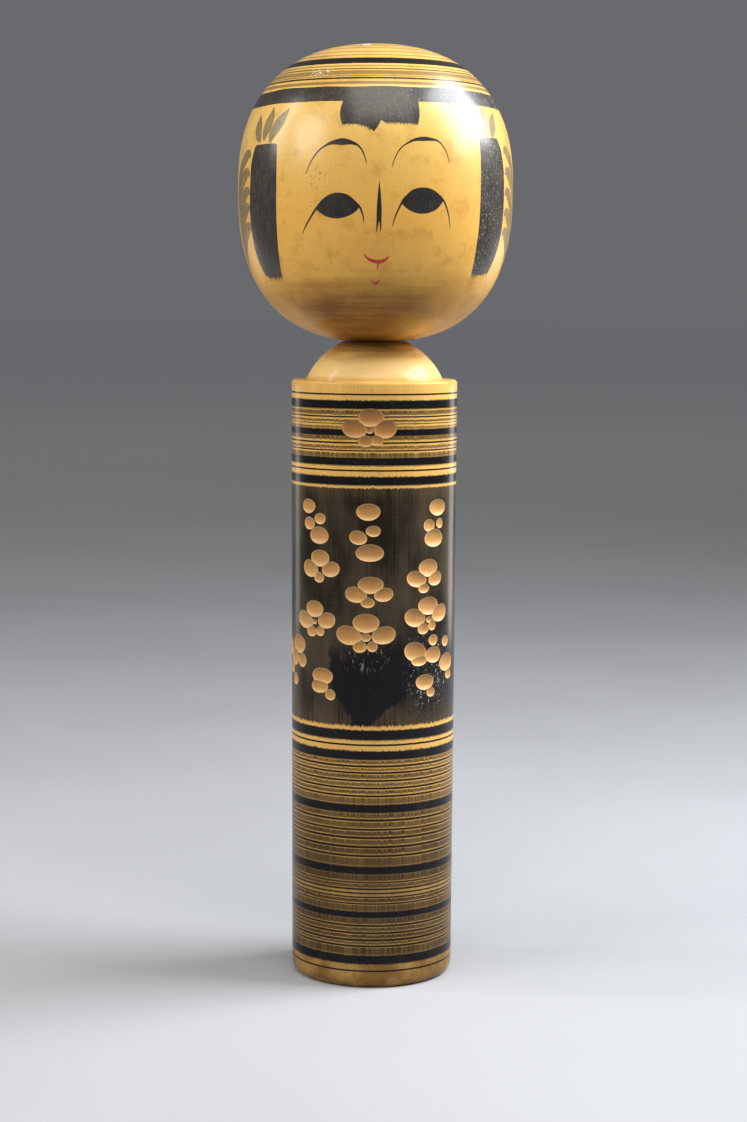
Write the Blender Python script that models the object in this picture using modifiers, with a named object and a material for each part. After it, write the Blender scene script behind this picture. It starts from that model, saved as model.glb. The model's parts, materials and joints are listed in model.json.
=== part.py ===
"""A turned wooden doll: a column body with a domed shoulder and carved blossoms,
and a round head that turns on a hidden wooden peg.

The frame: origin at the centre of the base, +Z up, the face towards -Y. Metres.
"""

import math

import bmesh
import bpy
from mathutils import Matrix, Vector

MM = 0.001
NAME = "kokeshi_doll"

# Body: a slightly tapered column that ends in a ledge with a dome on it.
COLUMN_HEIGHT = 294.5 * MM
COLUMN_TOP_RADIUS = 40.5 * MM
COLUMN_BASE_RADIUS = 39.7 * MM
FOOT_ROUND_WIDTH = 4.0 * MM
FOOT_ROUND_HEIGHT = 6.0 * MM
RIM_ROUND = 1.8 * MM
LEDGE_WIDTH = 7.1 * MM
SHOULDER_HEIGHT = 18.5 * MM
SEAT_RADIUS = 15.0 * MM

# Head: two rounded shells of different height that meet at the widest ring.
HEAD_HEIGHT = 141.7 * MM
HEAD_RADIUS = 66.6 * MM
HEAD_WIDEST_SHARE = 0.517
HEAD_UPPER_POWER = 2.38
HEAD_LOWER_POWER = 2.52
NECK_GAP = 0.3 * MM

# Neck peg: glued into the head, held in the body by a bead that sits in a groove.
PEG_RADIUS = 9.5 * MM
PEG_IN_HEAD = 42.0 * MM
PEG_IN_BODY = 34.0 * MM
PEG_CHAMFER = 1.2 * MM
BEAD_PROUD = 0.9 * MM
BEAD_LENGTH = 5.0 * MM
BEAD_DEPTH = 20.0 * MM
PEG_CLEARANCE = 0.3 * MM
HOLE_END_ROOM = 1.5 * MM

# Carved petals: shallow oval scoops.
SCOOP_DEPTH_SHARE = 0.21
SCOOP_MIN_DEPTH = 0.6 * MM
SCOOP_LIFT_SHARE = 0.6
WING_TILT = math.radians(10)
WING_FROM = 4.5

# Facets.
COLUMN_STEPS = 72
HEAD_STEPS = 72
PEG_STEPS = 40
ARC_POINTS = 7
HEAD_RINGS = 13
CUTTER_SEGMENTS = 12
CUTTER_RINGS = 8

# Each blossom: its angle round the column from the front in degrees (+X side positive), how far its
# heart lies below the ledge in mm, and its petals. Each petal, in mm from the heart: how far across,
# how far up, half its width and half its height.
BLOSSOMS = [
    (-3, 23, [(0.5, 6, 6.2, 4.3), (-7.5, 0.5, 6.2, 4.2), (7.5, 0.5, 5.6, 4.3), (0, 0, 1.8, 1.7),
              (-2, -5.2, 3.6, 2.8), (3.8, -4.7, 3, 2.6)]),
    (-4, 72.5, [(0.2, 10.6, 5.8, 4.1), (2.6, 1.5, 3.6, 2.7), (-4.6, -1.7, 4.4, 3.4), (1, -8.9, 6.8, 4.2)]),
    (-3, 102, [(0.8, 5.1, 6.2, 4.1), (-6.3, 0.4, 5.4, 3.8), (7.1, 0.5, 4.7, 3.3), (-0.6, -3.3, 3.4, 2.5)]),
    (-5, 122, [(0, 6.8, 6.5, 4.6), (-8.4, 0.7, 6.4, 4.6), (8.6, 1, 5.9, 4.3), (0, 0, 2.5, 2.1),
               (-2.9, -4.6, 3.4, 2.9), (3.1, -4.4, 2.6, 2.6)]),
    (-45, 67.5, [(-4.2, 7.2, 4.8, 3.5), (3.6, 1.6, 3.5, 2.7), (-3.5, -1, 3.9, 3.1), (3, -6.4, 5.9, 4.2)]),
    (-41, 91, [(0.7, 6, 5.8, 4.1), (-5.6, 0.6, 5.4, 4.1), (7.2, 1, 5, 3.7), (0.3, -3.2, 3.2, 2.6)]),
    (-45, 116, [(0, 6.2, 5.9, 4.1), (-6.9, 0.4, 6.3, 4.2), (7.6, 1.1, 5.1, 3.9), (0, 0, 1.8, 1.3),
                (-1.8, -4.7, 3.4, 2.7), (3.9, -4.3, 2.6, 2.4)]),
    (-68, 134, [(2.8, 5.6, 6.4, 4.6), (-2.6, -1.2, 5.6, 4.3), (6.3, -2, 3.8, 3.4), (-9.6, 3.4, 5, 4.4),
                (-7.4, -6.8, 4.2, 3.4), (-1.4, -12, 3.4, 3)]),
    (-38, 145, [(0.2, 2.9, 6.3, 4.1), (-1.4, -2, 5.2, 3.4), (5, -5.7, 2.9, 2.7)]),
    (48, 68.5, [(1.3, 7.9, 5.9, 4), (-4.5, -0.4, 3.6, 3), (2.7, 0.3, 2.5, 2.5), (-1.2, -6.6, 6.3, 4.4)]),
    (41, 95, [(0.2, 5.6, 6, 4.3), (-6.8, 0.5, 5.6, 3.9), (4.8, 0.1, 4.7, 3.4), (-2.7, -4.1, 3.3, 2.3)]),
    (42, 114.5, [(-0.3, 6.7, 6.4, 4.4), (-8.2, 1.3, 5.9, 4.4), (7.6, 2.6, 5.8, 4.2), (0, 0, 2, 1.6),
                 (-3.5, -4.1, 3.4, 2.8), (2.1, -2.8, 2.5, 2.7)]),
    (40, 131.5, [(-6.4, 1.8, 6.3, 4.7), (4.5, -0.4, 5.5, 4), (-4.3, -2.4, 4.6, 2.8), (4.4, 6.8, 3.2, 2.7)]),
    (63, 135, [(-1.6, 8.8, 3.1, 2.7), (-0.2, -1.6, 6.6, 4.5), (2.2, -7.8, 3.4, 2.4)]),
    (40, 146, [(-0.7, 1.2, 5.6, 3.8), (3, -3.9, 2.8, 2.4)]),
]


def column_radius(height):
    """The column's radius at a height above the floor."""
    share = height / COLUMN_HEIGHT
    return COLUMN_BASE_RADIUS + (COLUMN_TOP_RADIUS - COLUMN_BASE_RADIUS) * share


def new_collection(name):
    collection = bpy.data.collections.new(name)
    bpy.context.scene.collection.children.link(collection)
    return collection


def new_material(name, color, roughness):
    material = bpy.data.materials.new(name)
    material.use_nodes = True
    shader = material.node_tree.nodes["Principled BSDF"]
    shader.inputs["Base Color"].default_value = (*color, 1.0)
    shader.inputs["Roughness"].default_value = roughness
    shader.inputs["Metallic"].default_value = 0.0
    material.diffuse_color = (*color, 1.0)
    return material


def arc(centre, radii, start, end, count):
    """Points of a quarter-like arc, from the start angle to the end angle in degrees."""
    points = []
    for i in range(count):
        angle = math.radians(start + (end - start) * i / (count - 1))
        points.append((centre[0] + radii[0] * math.cos(angle), centre[1] + radii[1] * math.sin(angle)))
    return points


def turned(name, profile, steps, material, collection):
    """A solid turned about the Z axis from (radius, height) points, outer side from top to bottom."""
    mesh = bpy.data.meshes.new(name)
    vertices = [(radius, 0.0, height) for radius, height in profile]
    edges = [(i, i + 1) for i in range(len(profile) - 1)]
    mesh.from_pydata(vertices, edges, [])
    mesh.materials.append(material)
    piece = bpy.data.objects.new(name, mesh)
    collection.objects.link(piece)
    screw = piece.modifiers.new("Turning", "SCREW")
    screw.axis = "Z"
    screw.steps = steps
    screw.render_steps = steps
    screw.use_merge_vertices = True
    screw.merge_threshold = 0.02 * MM
    screw.use_smooth_shade = True
    return piece


def dome_profile():
    """The spherical shoulder, from the edge of the seat down to its foot on the ledge."""
    foot = COLUMN_TOP_RADIUS - LEDGE_WIDTH
    # The sphere through the seat's edge and the foot has its centre on the axis.
    drop = (foot**2 - SEAT_RADIUS**2 - SHOULDER_HEIGHT**2) / (2 * SHOULDER_HEIGHT)
    radius = math.hypot(foot, drop)
    centre = COLUMN_HEIGHT - drop
    top = math.degrees(math.atan2(SHOULDER_HEIGHT + drop, SEAT_RADIUS))
    bottom = math.degrees(math.atan2(drop, foot))
    return arc((0.0, centre), (radius, radius), top, bottom, ARC_POINTS)


def socket_profile():
    """The blind socket for the peg, from its floor up to its mouth, with the groove for the bead."""
    seat = COLUMN_HEIGHT + SHOULDER_HEIGHT
    floor = seat - PEG_IN_BODY - HOLE_END_ROOM
    wall = PEG_RADIUS + PEG_CLEARANCE
    groove = wall + BEAD_PROUD
    middle = seat - BEAD_DEPTH
    reach = BEAD_LENGTH / 2 + PEG_CLEARANCE
    slope = BEAD_PROUD
    return [
        (0.0, floor),
        (wall, floor),
        (wall, middle - reach - slope),
        (groove, middle - reach),
        (groove, middle + reach),
        (wall, middle + reach + slope),
        (wall, seat),
    ]


def make_body(material, collection):
    rim = arc(
        (COLUMN_TOP_RADIUS - RIM_ROUND, COLUMN_HEIGHT - RIM_ROUND), (RIM_ROUND, RIM_ROUND), 90, 0, 4
    )
    base_radius = column_radius(FOOT_ROUND_HEIGHT)
    foot = arc(
        (base_radius - FOOT_ROUND_WIDTH, FOOT_ROUND_HEIGHT),
        (FOOT_ROUND_WIDTH, FOOT_ROUND_HEIGHT),
        0,
        -90,
        ARC_POINTS - 2,
    )
    profile = socket_profile() + dome_profile() + rim + foot + [(0.0, 0.0)]
    return turned("body", profile, COLUMN_STEPS, material, collection)


def scoop_cutter(name, angle, height, half_width, half_height, tilt, collection):
    """An ellipsoid that takes one petal out of the column's skin."""
    radius = column_radius(height)
    depth = max(SCOOP_DEPTH_SHARE * half_width, SCOOP_MIN_DEPTH)
    # The ellipsoid's centre stays outside the wood, and its lowest part reaches the scoop's depth.
    reach = depth / (1 - SCOOP_LIFT_SHARE)
    lift = SCOOP_LIFT_SHARE * reach
    fall = radius - math.sqrt(radius**2 - half_width**2)
    across = half_width / math.sqrt(1 - min((lift + fall) / reach, 0.9) ** 2)
    upward = half_height / math.sqrt(1 - SCOOP_LIFT_SHARE**2)
    mesh = bpy.data.meshes.new(name)
    ball = bmesh.new()
    bmesh.ops.create_uvsphere(ball, u_segments=CUTTER_SEGMENTS, v_segments=CUTTER_RINGS, radius=1.0)
    ball.to_mesh(mesh)
    ball.free()
    outward = Vector((math.sin(angle), -math.cos(angle), 0.0))
    sideways = Vector((math.cos(angle), math.sin(angle), 0.0))
    turn = Matrix((sideways, Vector((0.0, 0.0, 1.0)), outward)).transposed().to_4x4()
    place = Matrix.Translation(outward * (radius + lift) + Vector((0.0, 0.0, height)))
    shape = Matrix.Diagonal((across, upward, reach, 1.0))
    mesh.transform(place @ turn @ Matrix.Rotation(tilt, 4, "Z") @ shape)
    mesh.update()
    cutter = bpy.data.objects.new(name, mesh)
    cutter.hide_render = True
    cutter.display_type = "WIRE"
    collection.objects.link(cutter)
    return cutter


def carve_blossoms(body, collection):
    for number, (degrees, drop, petals) in enumerate(BLOSSOMS, 1):
        heart = COLUMN_HEIGHT - drop * MM
        for count, (across, up, half_width, half_height) in enumerate(petals, 1):
            height = heart + up * MM
            angle = math.radians(degrees) + across * MM / column_radius(height)
            tilt = 0.0
            if abs(across) > WING_FROM and up > -WING_FROM:
                tilt = math.copysign(WING_TILT, across)
            name = f"petal_{number:02d}_{count}"
            scoop_cutter(name, angle, height, half_width * MM, half_height * MM, tilt, collection)
    cut = body.modifiers.new("Petals", "BOOLEAN")
    cut.operation = "DIFFERENCE"
    cut.operand_type = "COLLECTION"
    cut.collection = collection
    cut.solver = "EXACT"


def shell_point(share, power, radius, height):
    """A point of a rounded quarter shell: share 0 is its widest ring and 1 is its pole."""
    angle = math.radians(90 * share)
    return (radius * math.cos(angle) ** (2 / power), height * math.sin(angle) ** (2 / power))


def make_head(material, collection):
    base = COLUMN_HEIGHT + SHOULDER_HEIGHT + NECK_GAP
    widest = base + HEAD_HEIGHT * HEAD_WIDEST_SHARE
    upper = base + HEAD_HEIGHT - widest
    # The lower shell is cut off flat where it is as wide as the seat.
    flat = (SEAT_RADIUS / HEAD_RADIUS) ** HEAD_LOWER_POWER
    lower = (widest - base) / (1 - flat) ** (1 / HEAD_LOWER_POWER)
    profile = [(0.0, base + HEAD_HEIGHT)]
    for i in range(HEAD_RINGS - 1, -1, -1):
        radius, rise = shell_point(i / HEAD_RINGS, HEAD_UPPER_POWER, HEAD_RADIUS, upper)
        profile.append((radius, widest + rise))
    last = math.asin(((widest - base) / lower) ** (HEAD_LOWER_POWER / 2)) / math.radians(90)
    for i in range(1, HEAD_RINGS + 1):
        share = last * i / HEAD_RINGS
        radius, fall = shell_point(share, HEAD_LOWER_POWER, HEAD_RADIUS, lower)
        profile.append((radius, widest - fall))
    hole = PEG_RADIUS + PEG_CLEARANCE
    ceiling = base + PEG_IN_HEAD + HOLE_END_ROOM
    profile += [(hole, base), (hole, ceiling), (0.0, ceiling)]
    return turned("head", profile, HEAD_STEPS, material, collection)


def make_peg(material, collection):
    base = COLUMN_HEIGHT + SHOULDER_HEIGHT + NECK_GAP
    seat = COLUMN_HEIGHT + SHOULDER_HEIGHT
    top = base + PEG_IN_HEAD
    bottom = seat - PEG_IN_BODY
    middle = seat - BEAD_DEPTH
    bead = PEG_RADIUS + BEAD_PROUD
    flat = BEAD_LENGTH / 2 - BEAD_PROUD
    profile = [
        (0.0, top),
        (PEG_RADIUS - PEG_CHAMFER, top),
        (PEG_RADIUS, top - PEG_CHAMFER),
        (PEG_RADIUS, middle + BEAD_LENGTH / 2),
        (bead, middle + flat),
        (bead, middle - flat),
        (PEG_RADIUS, middle - BEAD_LENGTH / 2),
        (PEG_RADIUS, bottom + PEG_CHAMFER),
        (PEG_RADIUS - PEG_CHAMFER, bottom),
        (0.0, bottom),
    ]
    return turned("neck_peg", profile, PEG_STEPS, material, collection)


def main():
    for thing in list(bpy.data.objects):
        bpy.data.objects.remove(thing, do_unlink=True)
    parts = new_collection(NAME)
    cutters = new_collection("cutters")
    cutters.hide_render = True
    body = make_body(new_material("dark_lacquered_wood", (0.10, 0.07, 0.04), 0.3), parts)
    carve_blossoms(body, cutters)
    head = make_head(new_material("amber_lacquered_wood", (0.62, 0.38, 0.13), 0.28), parts)
    peg = make_peg(new_material("plain_wood", (0.66, 0.50, 0.31), 0.6), parts)
    # The head turns about an empty on the axis, at the seat, and takes the peg with it.
    pivot = bpy.data.objects.new("head_axis", None)
    pivot.location = (0.0, 0.0, COLUMN_HEIGHT + SHOULDER_HEIGHT)
    parts.objects.link(pivot)
    bpy.context.view_layer.update()
    for piece in (head, peg):
        piece.parent = pivot
        piece.matrix_parent_inverse = pivot.matrix_world.inverted()


main()
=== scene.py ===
"""Looks for a turned kokeshi doll: the lacquered column with its painted rings and carved
blossoms, the amber head with its brushed hair and face, and the peg between them.

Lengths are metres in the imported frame: the base on the floor at the origin, the face towards -Y.
Marks on the head are given in millimetres: how far round from the front, measured on the widest
ring, and how far up from the head's underside.
"""

import json
import math
import random

import bmesh
import bpy
import numpy as np
from bpy.props import FloatProperty, FloatVectorProperty, IntProperty, PointerProperty
from mathutils import Matrix, Vector
from mathutils.geometry import delaunay_2d_cdt

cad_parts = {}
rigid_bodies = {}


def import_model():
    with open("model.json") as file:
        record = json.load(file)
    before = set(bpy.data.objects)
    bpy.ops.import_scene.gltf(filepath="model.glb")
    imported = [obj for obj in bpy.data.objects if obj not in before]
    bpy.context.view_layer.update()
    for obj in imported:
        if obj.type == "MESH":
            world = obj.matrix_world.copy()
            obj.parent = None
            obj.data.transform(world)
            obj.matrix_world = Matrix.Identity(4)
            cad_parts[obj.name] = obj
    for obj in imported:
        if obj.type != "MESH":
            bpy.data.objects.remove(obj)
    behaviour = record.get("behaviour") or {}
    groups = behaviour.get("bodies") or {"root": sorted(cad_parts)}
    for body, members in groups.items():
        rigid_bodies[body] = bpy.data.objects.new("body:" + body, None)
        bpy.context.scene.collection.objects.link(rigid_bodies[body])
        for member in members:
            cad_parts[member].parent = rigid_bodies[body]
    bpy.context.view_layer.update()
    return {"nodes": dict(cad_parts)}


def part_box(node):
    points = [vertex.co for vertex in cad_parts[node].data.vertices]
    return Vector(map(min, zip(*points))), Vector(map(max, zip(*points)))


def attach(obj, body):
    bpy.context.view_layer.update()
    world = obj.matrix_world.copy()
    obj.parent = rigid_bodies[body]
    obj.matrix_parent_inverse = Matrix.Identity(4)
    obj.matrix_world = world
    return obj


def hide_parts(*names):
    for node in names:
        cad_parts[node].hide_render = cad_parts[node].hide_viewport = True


bl_info = {
    "name": "Kokeshi doll",
    "version": (1, 0, 0),
    "blender": (4, 5, 0),
    "location": "View3D > Sidebar > Kokeshi",
    "description": "Turns, carves and paints a wooden kokeshi doll round its packed frame",
    "category": "Object",
}

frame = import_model()
MM = 0.001

BODY_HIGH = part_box("body")[1]
HEAD_LOW, HEAD_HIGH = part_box("head")
PEG_LOW, PEG_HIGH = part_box("neck_peg")
SEAT = BODY_HIGH.z
COLUMN_RADIUS = BODY_HIGH.x
HEAD_BASE = HEAD_LOW.z
HEAD_RADIUS = HEAD_HIGH.x
HEAD_WIDTH_MM = HEAD_RADIUS / MM

# The joint in the neck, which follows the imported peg.
BEAD_RISE = 0.6 * MM
GROOVE_DEPTH = 0.9 * MM
GROOVE_DROP = 20.0 * MM
GROOVE_MOUTH = 3.7 * MM
GROOVE_FLOOR = 2.8 * MM
SPARE_DEPTH = 1.5 * MM
# The head stands on a flat ring this wide, and paint films reach a little below its skin.
HEAD_FOOT = 15.0 * MM
FILM_ROOT = -0.07 * MM
# Edges sharper than these angles in degrees stay sharp in the shading.
PETAL_SHARP, HEAD_SHARP, FILM_SHARP = 22, 40, 60

# Each blossom: its angle round the column from the front in degrees (+X side positive), how far
# its heart lies below the ledge in mm, and its petals. Each petal, in mm from the heart: how far
# across, how far up, half its width and half its height.
BLOSSOMS = [
    (-3, 23, [(0.5, 6, 6.2, 4.3), (-7.5, 0.5, 6.2, 4.2), (7.5, 0.5, 5.6, 4.3), (0, 0, 1.8, 1.7),
              (-2, -5.2, 3.6, 2.8), (3.8, -4.7, 3, 2.6)]),
    (-4, 72.5, [(0.2, 10.6, 5.8, 4.1), (2.6, 1.5, 3.6, 2.7), (-4.6, -1.7, 4.4, 3.4),
                (1, -8.9, 6.8, 4.2)]),
    (-3, 102, [(0.8, 5.1, 6.2, 4.1), (-6.3, 0.4, 5.4, 3.8), (7.1, 0.5, 4.7, 3.3),
               (-0.6, -3.3, 3.4, 2.5)]),
    (-5, 122, [(0, 6.8, 6.5, 4.6), (-8.4, 0.7, 6.4, 4.6), (8.6, 1, 5.9, 4.3), (0, 0, 2.5, 2.1),
               (-2.9, -4.6, 3.4, 2.9), (3.1, -4.4, 2.6, 2.6)]),
    (-45, 67.5, [(-4.2, 7.2, 4.8, 3.5), (3.6, 1.6, 3.5, 2.7), (-3.5, -1, 3.9, 3.1),
                 (3, -6.4, 5.9, 4.2)]),
    (-41, 91, [(0.7, 6, 5.8, 4.1), (-5.6, 0.6, 5.4, 4.1), (7.2, 1, 5, 3.7),
               (0.3, -3.2, 3.2, 2.6)]),
    (-45, 116, [(0, 6.2, 5.9, 4.1), (-6.9, 0.4, 6.3, 4.2), (7.6, 1.1, 5.1, 3.9), (0, 0, 1.8, 1.3),
                (-1.8, -4.7, 3.4, 2.7), (3.9, -4.3, 2.6, 2.4)]),
    (-68, 134, [(2.8, 5.6, 6.4, 4.6), (-2.6, -1.2, 5.6, 4.3), (6.3, -2, 3.8, 3.4),
                (-9.6, 3.4, 5, 4.4), (-7.4, -6.8, 4.2, 3.4), (-1.4, -12, 3.4, 3)]),
    (-38, 145, [(0.2, 2.9, 6.3, 4.1), (-1.4, -2, 5.2, 3.4), (5, -5.7, 2.9, 2.7)]),
    (48, 68.5, [(1.3, 7.9, 5.9, 4), (-4.5, -0.4, 3.6, 3), (2.7, 0.3, 2.5, 2.5),
                (-1.2, -6.6, 6.3, 4.4)]),
    (41, 95, [(0.2, 5.6, 6, 4.3), (-6.8, 0.5, 5.6, 3.9), (4.8, 0.1, 4.7, 3.4),
              (-2.7, -4.1, 3.3, 2.3)]),
    (42, 114.5, [(-0.3, 6.7, 6.4, 4.4), (-8.2, 1.3, 5.9, 4.4), (7.6, 2.6, 5.8, 4.2),
                 (0, 0, 2, 1.6), (-3.5, -4.1, 3.4, 2.8), (2.1, -2.8, 2.5, 2.7)]),
    (40, 131.5, [(-6.4, 1.8, 6.3, 4.7), (4.5, -0.4, 5.5, 4), (-4.3, -2.4, 4.6, 2.8),
                 (4.4, 6.8, 3.2, 2.7)]),
    (63, 135, [(-1.6, 8.8, 3.1, 2.7), (-0.2, -1.6, 6.6, 4.5), (2.2, -7.8, 3.4, 2.4)]),
    (40, 146, [(-0.7, 1.2, 5.6, 3.8), (3, -3.9, 2.8, 2.4)]),
]

# Painted rings on the column, from the top down: (upper edge, lower edge, tone), in mm above the
# floor. What no ring covers is bare lacquered wood.
SHOULDER_RINGS = [
    (288.7, 287.9, "thin"), (285.3, 281.6, "black"), (280.7, 278.6, "brown"),
    (278.1, 277.4, "dark"), (276.4, 275.3, "brown"), (274.7, 274.2, "dark"),
    (273.2, 272.3, "tan"), (271.7, 268.8, "black"), (268.2, 266.7, "brown"),
    (265.8, 265.0, "dark"), (263.9, 262.5, "tan"), (262.0, 261.4, "dark"),
    (260.6, 258.6, "brown"), (258.2, 254.8, "black"), (252.6, 251.8, "dark"),
    (249.1, 245.4, "black"),
]
SKIRT_RINGS = [
    (127.2, 122.7, "black"), (120.6, 119.7, "dark"), (117.0, 113.0, "black"),
    (90.8, 87.0, "black"), (60.4, 56.8, "black"), (38.2, 35.2, "black"), (16.3, 12.4, "black"),
    (9.1, 8.4, "thin"),
]
# Zones of the skirt between black rings: (top, bottom, margin, line width, heights of thin dark
# lines). A brown band fills the space between two lines, with a bare margin on each side.
SKIRT_ZONES = [
    (113.0, 90.8, 0.55, 1.00, (109.8, 106.6, 102.7, 99.0, 95.2)),
    (87.0, 60.4, 0.55, 1.00, (83.3, 78.7, 74.7, 70.2, 65.8)),
    (56.8, 38.2, 0.45, 0.75, (52.7, 49.4, 47.3, 45.4, 42.1)),
    (35.2, 16.3, 0.50, 0.95, (31.3, 27.6, 24.1, 21.1)),
]
for top, bottom, margin, line, heights in SKIRT_ZONES:
    edges = [top, *heights, bottom]
    for number, (upper, lower) in enumerate(zip(edges, edges[1:])):
        begin = upper - (margin + line / 2 if number else 0.6)
        end = lower + (margin + line / 2 if number < len(heights) else margin)
        if begin - end > 0.5:
            SKIRT_RINGS.append((begin, end, "brown" if number % 2 == 0 else "tan"))
        if number < len(heights):
            SKIRT_RINGS.append((lower + line / 2, lower - line / 2, "dark"))
SKIRT_RINGS.sort(reverse=True)
# Rings on the crown of the head, mm above the head's underside.
CROWN_RINGS = [
    (139.4, 139.1, "wash"), (137.6, 137.2, "wash"), (135.4, 135.0, "wash"),
    (133.4, 132.9, "wash"), (131.7, 128.6, "dark"), (127.6, 127.0, "wash"),
    (126.2, 125.6, "brown"), (125.0, 123.0, "wash"), (122.5, 122.1, "brown"),
    (121.7, 120.9, "dark"), (119.7, 118.2, "wash"),
]
# Colour and cover of each tone.
TONES = {
    "black": (0.0065, 0.0060, 0.0070, 1.0),
    "dark": (0.0070, 0.0050, 0.0040, 1.0),
    "thin": (0.008, 0.008, 0.008, 1.0),
    "brown": (0.050, 0.028, 0.010, 0.92),
    "tan": (0.072, 0.041, 0.014, 0.88),
    "wash": (0.130, 0.072, 0.023, 0.72),
    "bare": (0.30, 0.17, 0.055, 0.0),
}
# Stretches that hold the painted rings, in mm, and the split between the column's two.
SHOULDER_SPAN, SKIRT_SPAN, CROWN_SPAN = (243.0, 294.5), (4.0, 128.5), (112.0, 141.7)
SPLIT_HEIGHT = 200.0
# One stepped ramp holds so many stops, and spans so many mm.
RAMP_STOPS, RAMP_REACH = 31, 33.0


# ---------------------------------------------------------------- settings

def length(name, description, value):
    """A length among the settings."""
    return FloatProperty(
        name=name, description=description, default=value, unit="LENGTH", subtype="DISTANCE"
    )


def colour(name, description, value):
    """A colour among the settings."""
    return FloatVectorProperty(
        name=name, description=description, default=value, size=3, min=0.0, max=1.0,
        subtype="COLOR",
    )


def share(name, description, value):
    """A share of one among the settings."""
    return FloatProperty(
        name=name, description=description, default=value, min=0.0, max=1.0, subtype="FACTOR"
    )


class KokeshiBodySettings(bpy.types.PropertyGroup):
    """Sizes and colours of the column."""

    shoulder_rise: length("Shoulder rise", "How far the dome rises above the ledge", 18.5 * MM)
    ledge_width: length("Ledge width", "Flat ledge between the rim and the dome", 7.1 * MM)
    base_narrowing: length("Base narrowing", "How much less the radius is at the foot", 0.8 * MM)
    seat_radius: length("Seat radius", "Flat top of the dome that carries the head", 15.0 * MM)
    petal_depth: share("Petal depth", "Depth of a petal as a share of half its width", 0.21)
    segments: IntProperty(name="Segments", description="Facets round the column", default=288)
    wood: colour("Lacquered wood", "Bare wood under the lacquer", (0.71, 0.420, 0.112))
    carved: colour("Carved wood", "Raw wood inside the petals", (0.56, 0.280, 0.076))
    stain: colour("Dark stain", "The wide dark field between the rings", (0.044, 0.033, 0.020))


class KokeshiHeadSettings(bpy.types.PropertyGroup):
    """Sizes and colours of the head."""

    widest_share: share("Widest ring", "Height of the widest ring as a share of the head", 0.517)
    upper_power: FloatProperty(
        name="Crown fullness", description="Roundness of the upper shell", default=2.38
    )
    lower_power: FloatProperty(
        name="Chin fullness", description="Roundness of the lower shell", default=2.52
    )
    segments: IntProperty(name="Segments", description="Facets round the head", default=256)
    amber: colour("Amber wood", "Lacquered wood of the face", (0.73, 0.455, 0.112))
    # Painted shade: warm amber below the eyes and darker amber at the chin; the darker one also
    # mottles.
    amber_warm: colour("Warm amber", "Redder lacquer below the eyes", (0.68, 0.345, 0.058))
    amber_dark: colour("Aged amber", "Darker, older lacquer near the chin", (0.21, 0.082, 0.012))


class KokeshiPaintSettings(bpy.types.PropertyGroup):
    """The brushed marks on the head."""

    ink: colour("Ink", "Black of the hair and the face", (0.0130, 0.0115, 0.0105))
    thin_ink: colour("Thin ink", "Watered ink of the leaves and side hair", (0.078, 0.066, 0.048))
    red: colour("Red", "Colour of the lips", (0.42, 0.012, 0.005))
    film: length("Film thickness", "How far dry paint stands on the wood", 0.05 * MM)
    seed: IntProperty(name="Seed", description="Chooses the bristle ends", default=7)


class KokeshiPegSettings(bpy.types.PropertyGroup):
    """The peg in the neck."""

    wood: colour("Peg wood", "Plain turned wood of the peg", (0.52, 0.36, 0.19))


class KokeshiStageSettings(bpy.types.PropertyGroup):
    """Floor, light and camera."""

    floor_colour: colour("Floor colour", "Plain pale floor", (0.37, 0.38, 0.40))
    camera_distance: length("Camera distance", "From the doll's axis to the camera", 1.155)
    camera_height: length("Camera height", "Height of the camera above the floor", 0.330)
    camera_pitch: FloatProperty(
        name="Camera pitch", description="How far the camera looks down",
        default=math.radians(6.18), subtype="ANGLE",
    )
    camera_roll: FloatProperty(
        name="Camera roll", description="Turn of the camera about its view",
        default=math.radians(0.3), subtype="ANGLE",
    )
    lens: FloatProperty(
        name="Lens", description="Focal length", default=75.55, subtype="DISTANCE_CAMERA",
    )


# ---------------------------------------------------------------- meshes

def spaced(points, step):
    """The same line with evenly spaced points about a step apart."""
    reach = [0.0]
    for a, b in zip(points, points[1:]):
        reach.append(reach[-1] + math.dist(a, b))
    count = max(1, round(reach[-1] / step))
    result, i = [], 0
    for k in range(count + 1):
        goal = reach[-1] * k / count
        while i < len(points) - 2 and reach[i + 1] < goal:
            i += 1
        part = (goal - reach[i]) / max(reach[i + 1] - reach[i], 1e-12)
        result.append(tuple(a + (b - a) * part for a, b in zip(points[i], points[i + 1])))
    return result


def arc(centre, radii, start, end, count=24):
    """Points of an arc between two angles in degrees."""
    (x, y), (across, up) = centre, radii
    points = []
    for i in range(count + 1):
        angle = math.radians(start + (end - start) * i / count)
        points.append((x + across * math.cos(angle), y + up * math.sin(angle)))
    return points


def joined(runs):
    """One profile from (points, weight) runs that share their ends, and a weight for each step."""
    profile, weights = [], []
    for points, weight in runs:
        profile += points[1:] if profile else points
        weights += [weight] * (len(points) - 1)
    return profile, weights


def linked(name, mesh):
    """An object in the scene made from an edited mesh."""
    data = bpy.data.meshes.new(name)
    mesh.to_mesh(data)
    mesh.free()
    piece = bpy.data.objects.new(name, data)
    bpy.context.scene.collection.objects.link(piece)
    return piece


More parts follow.
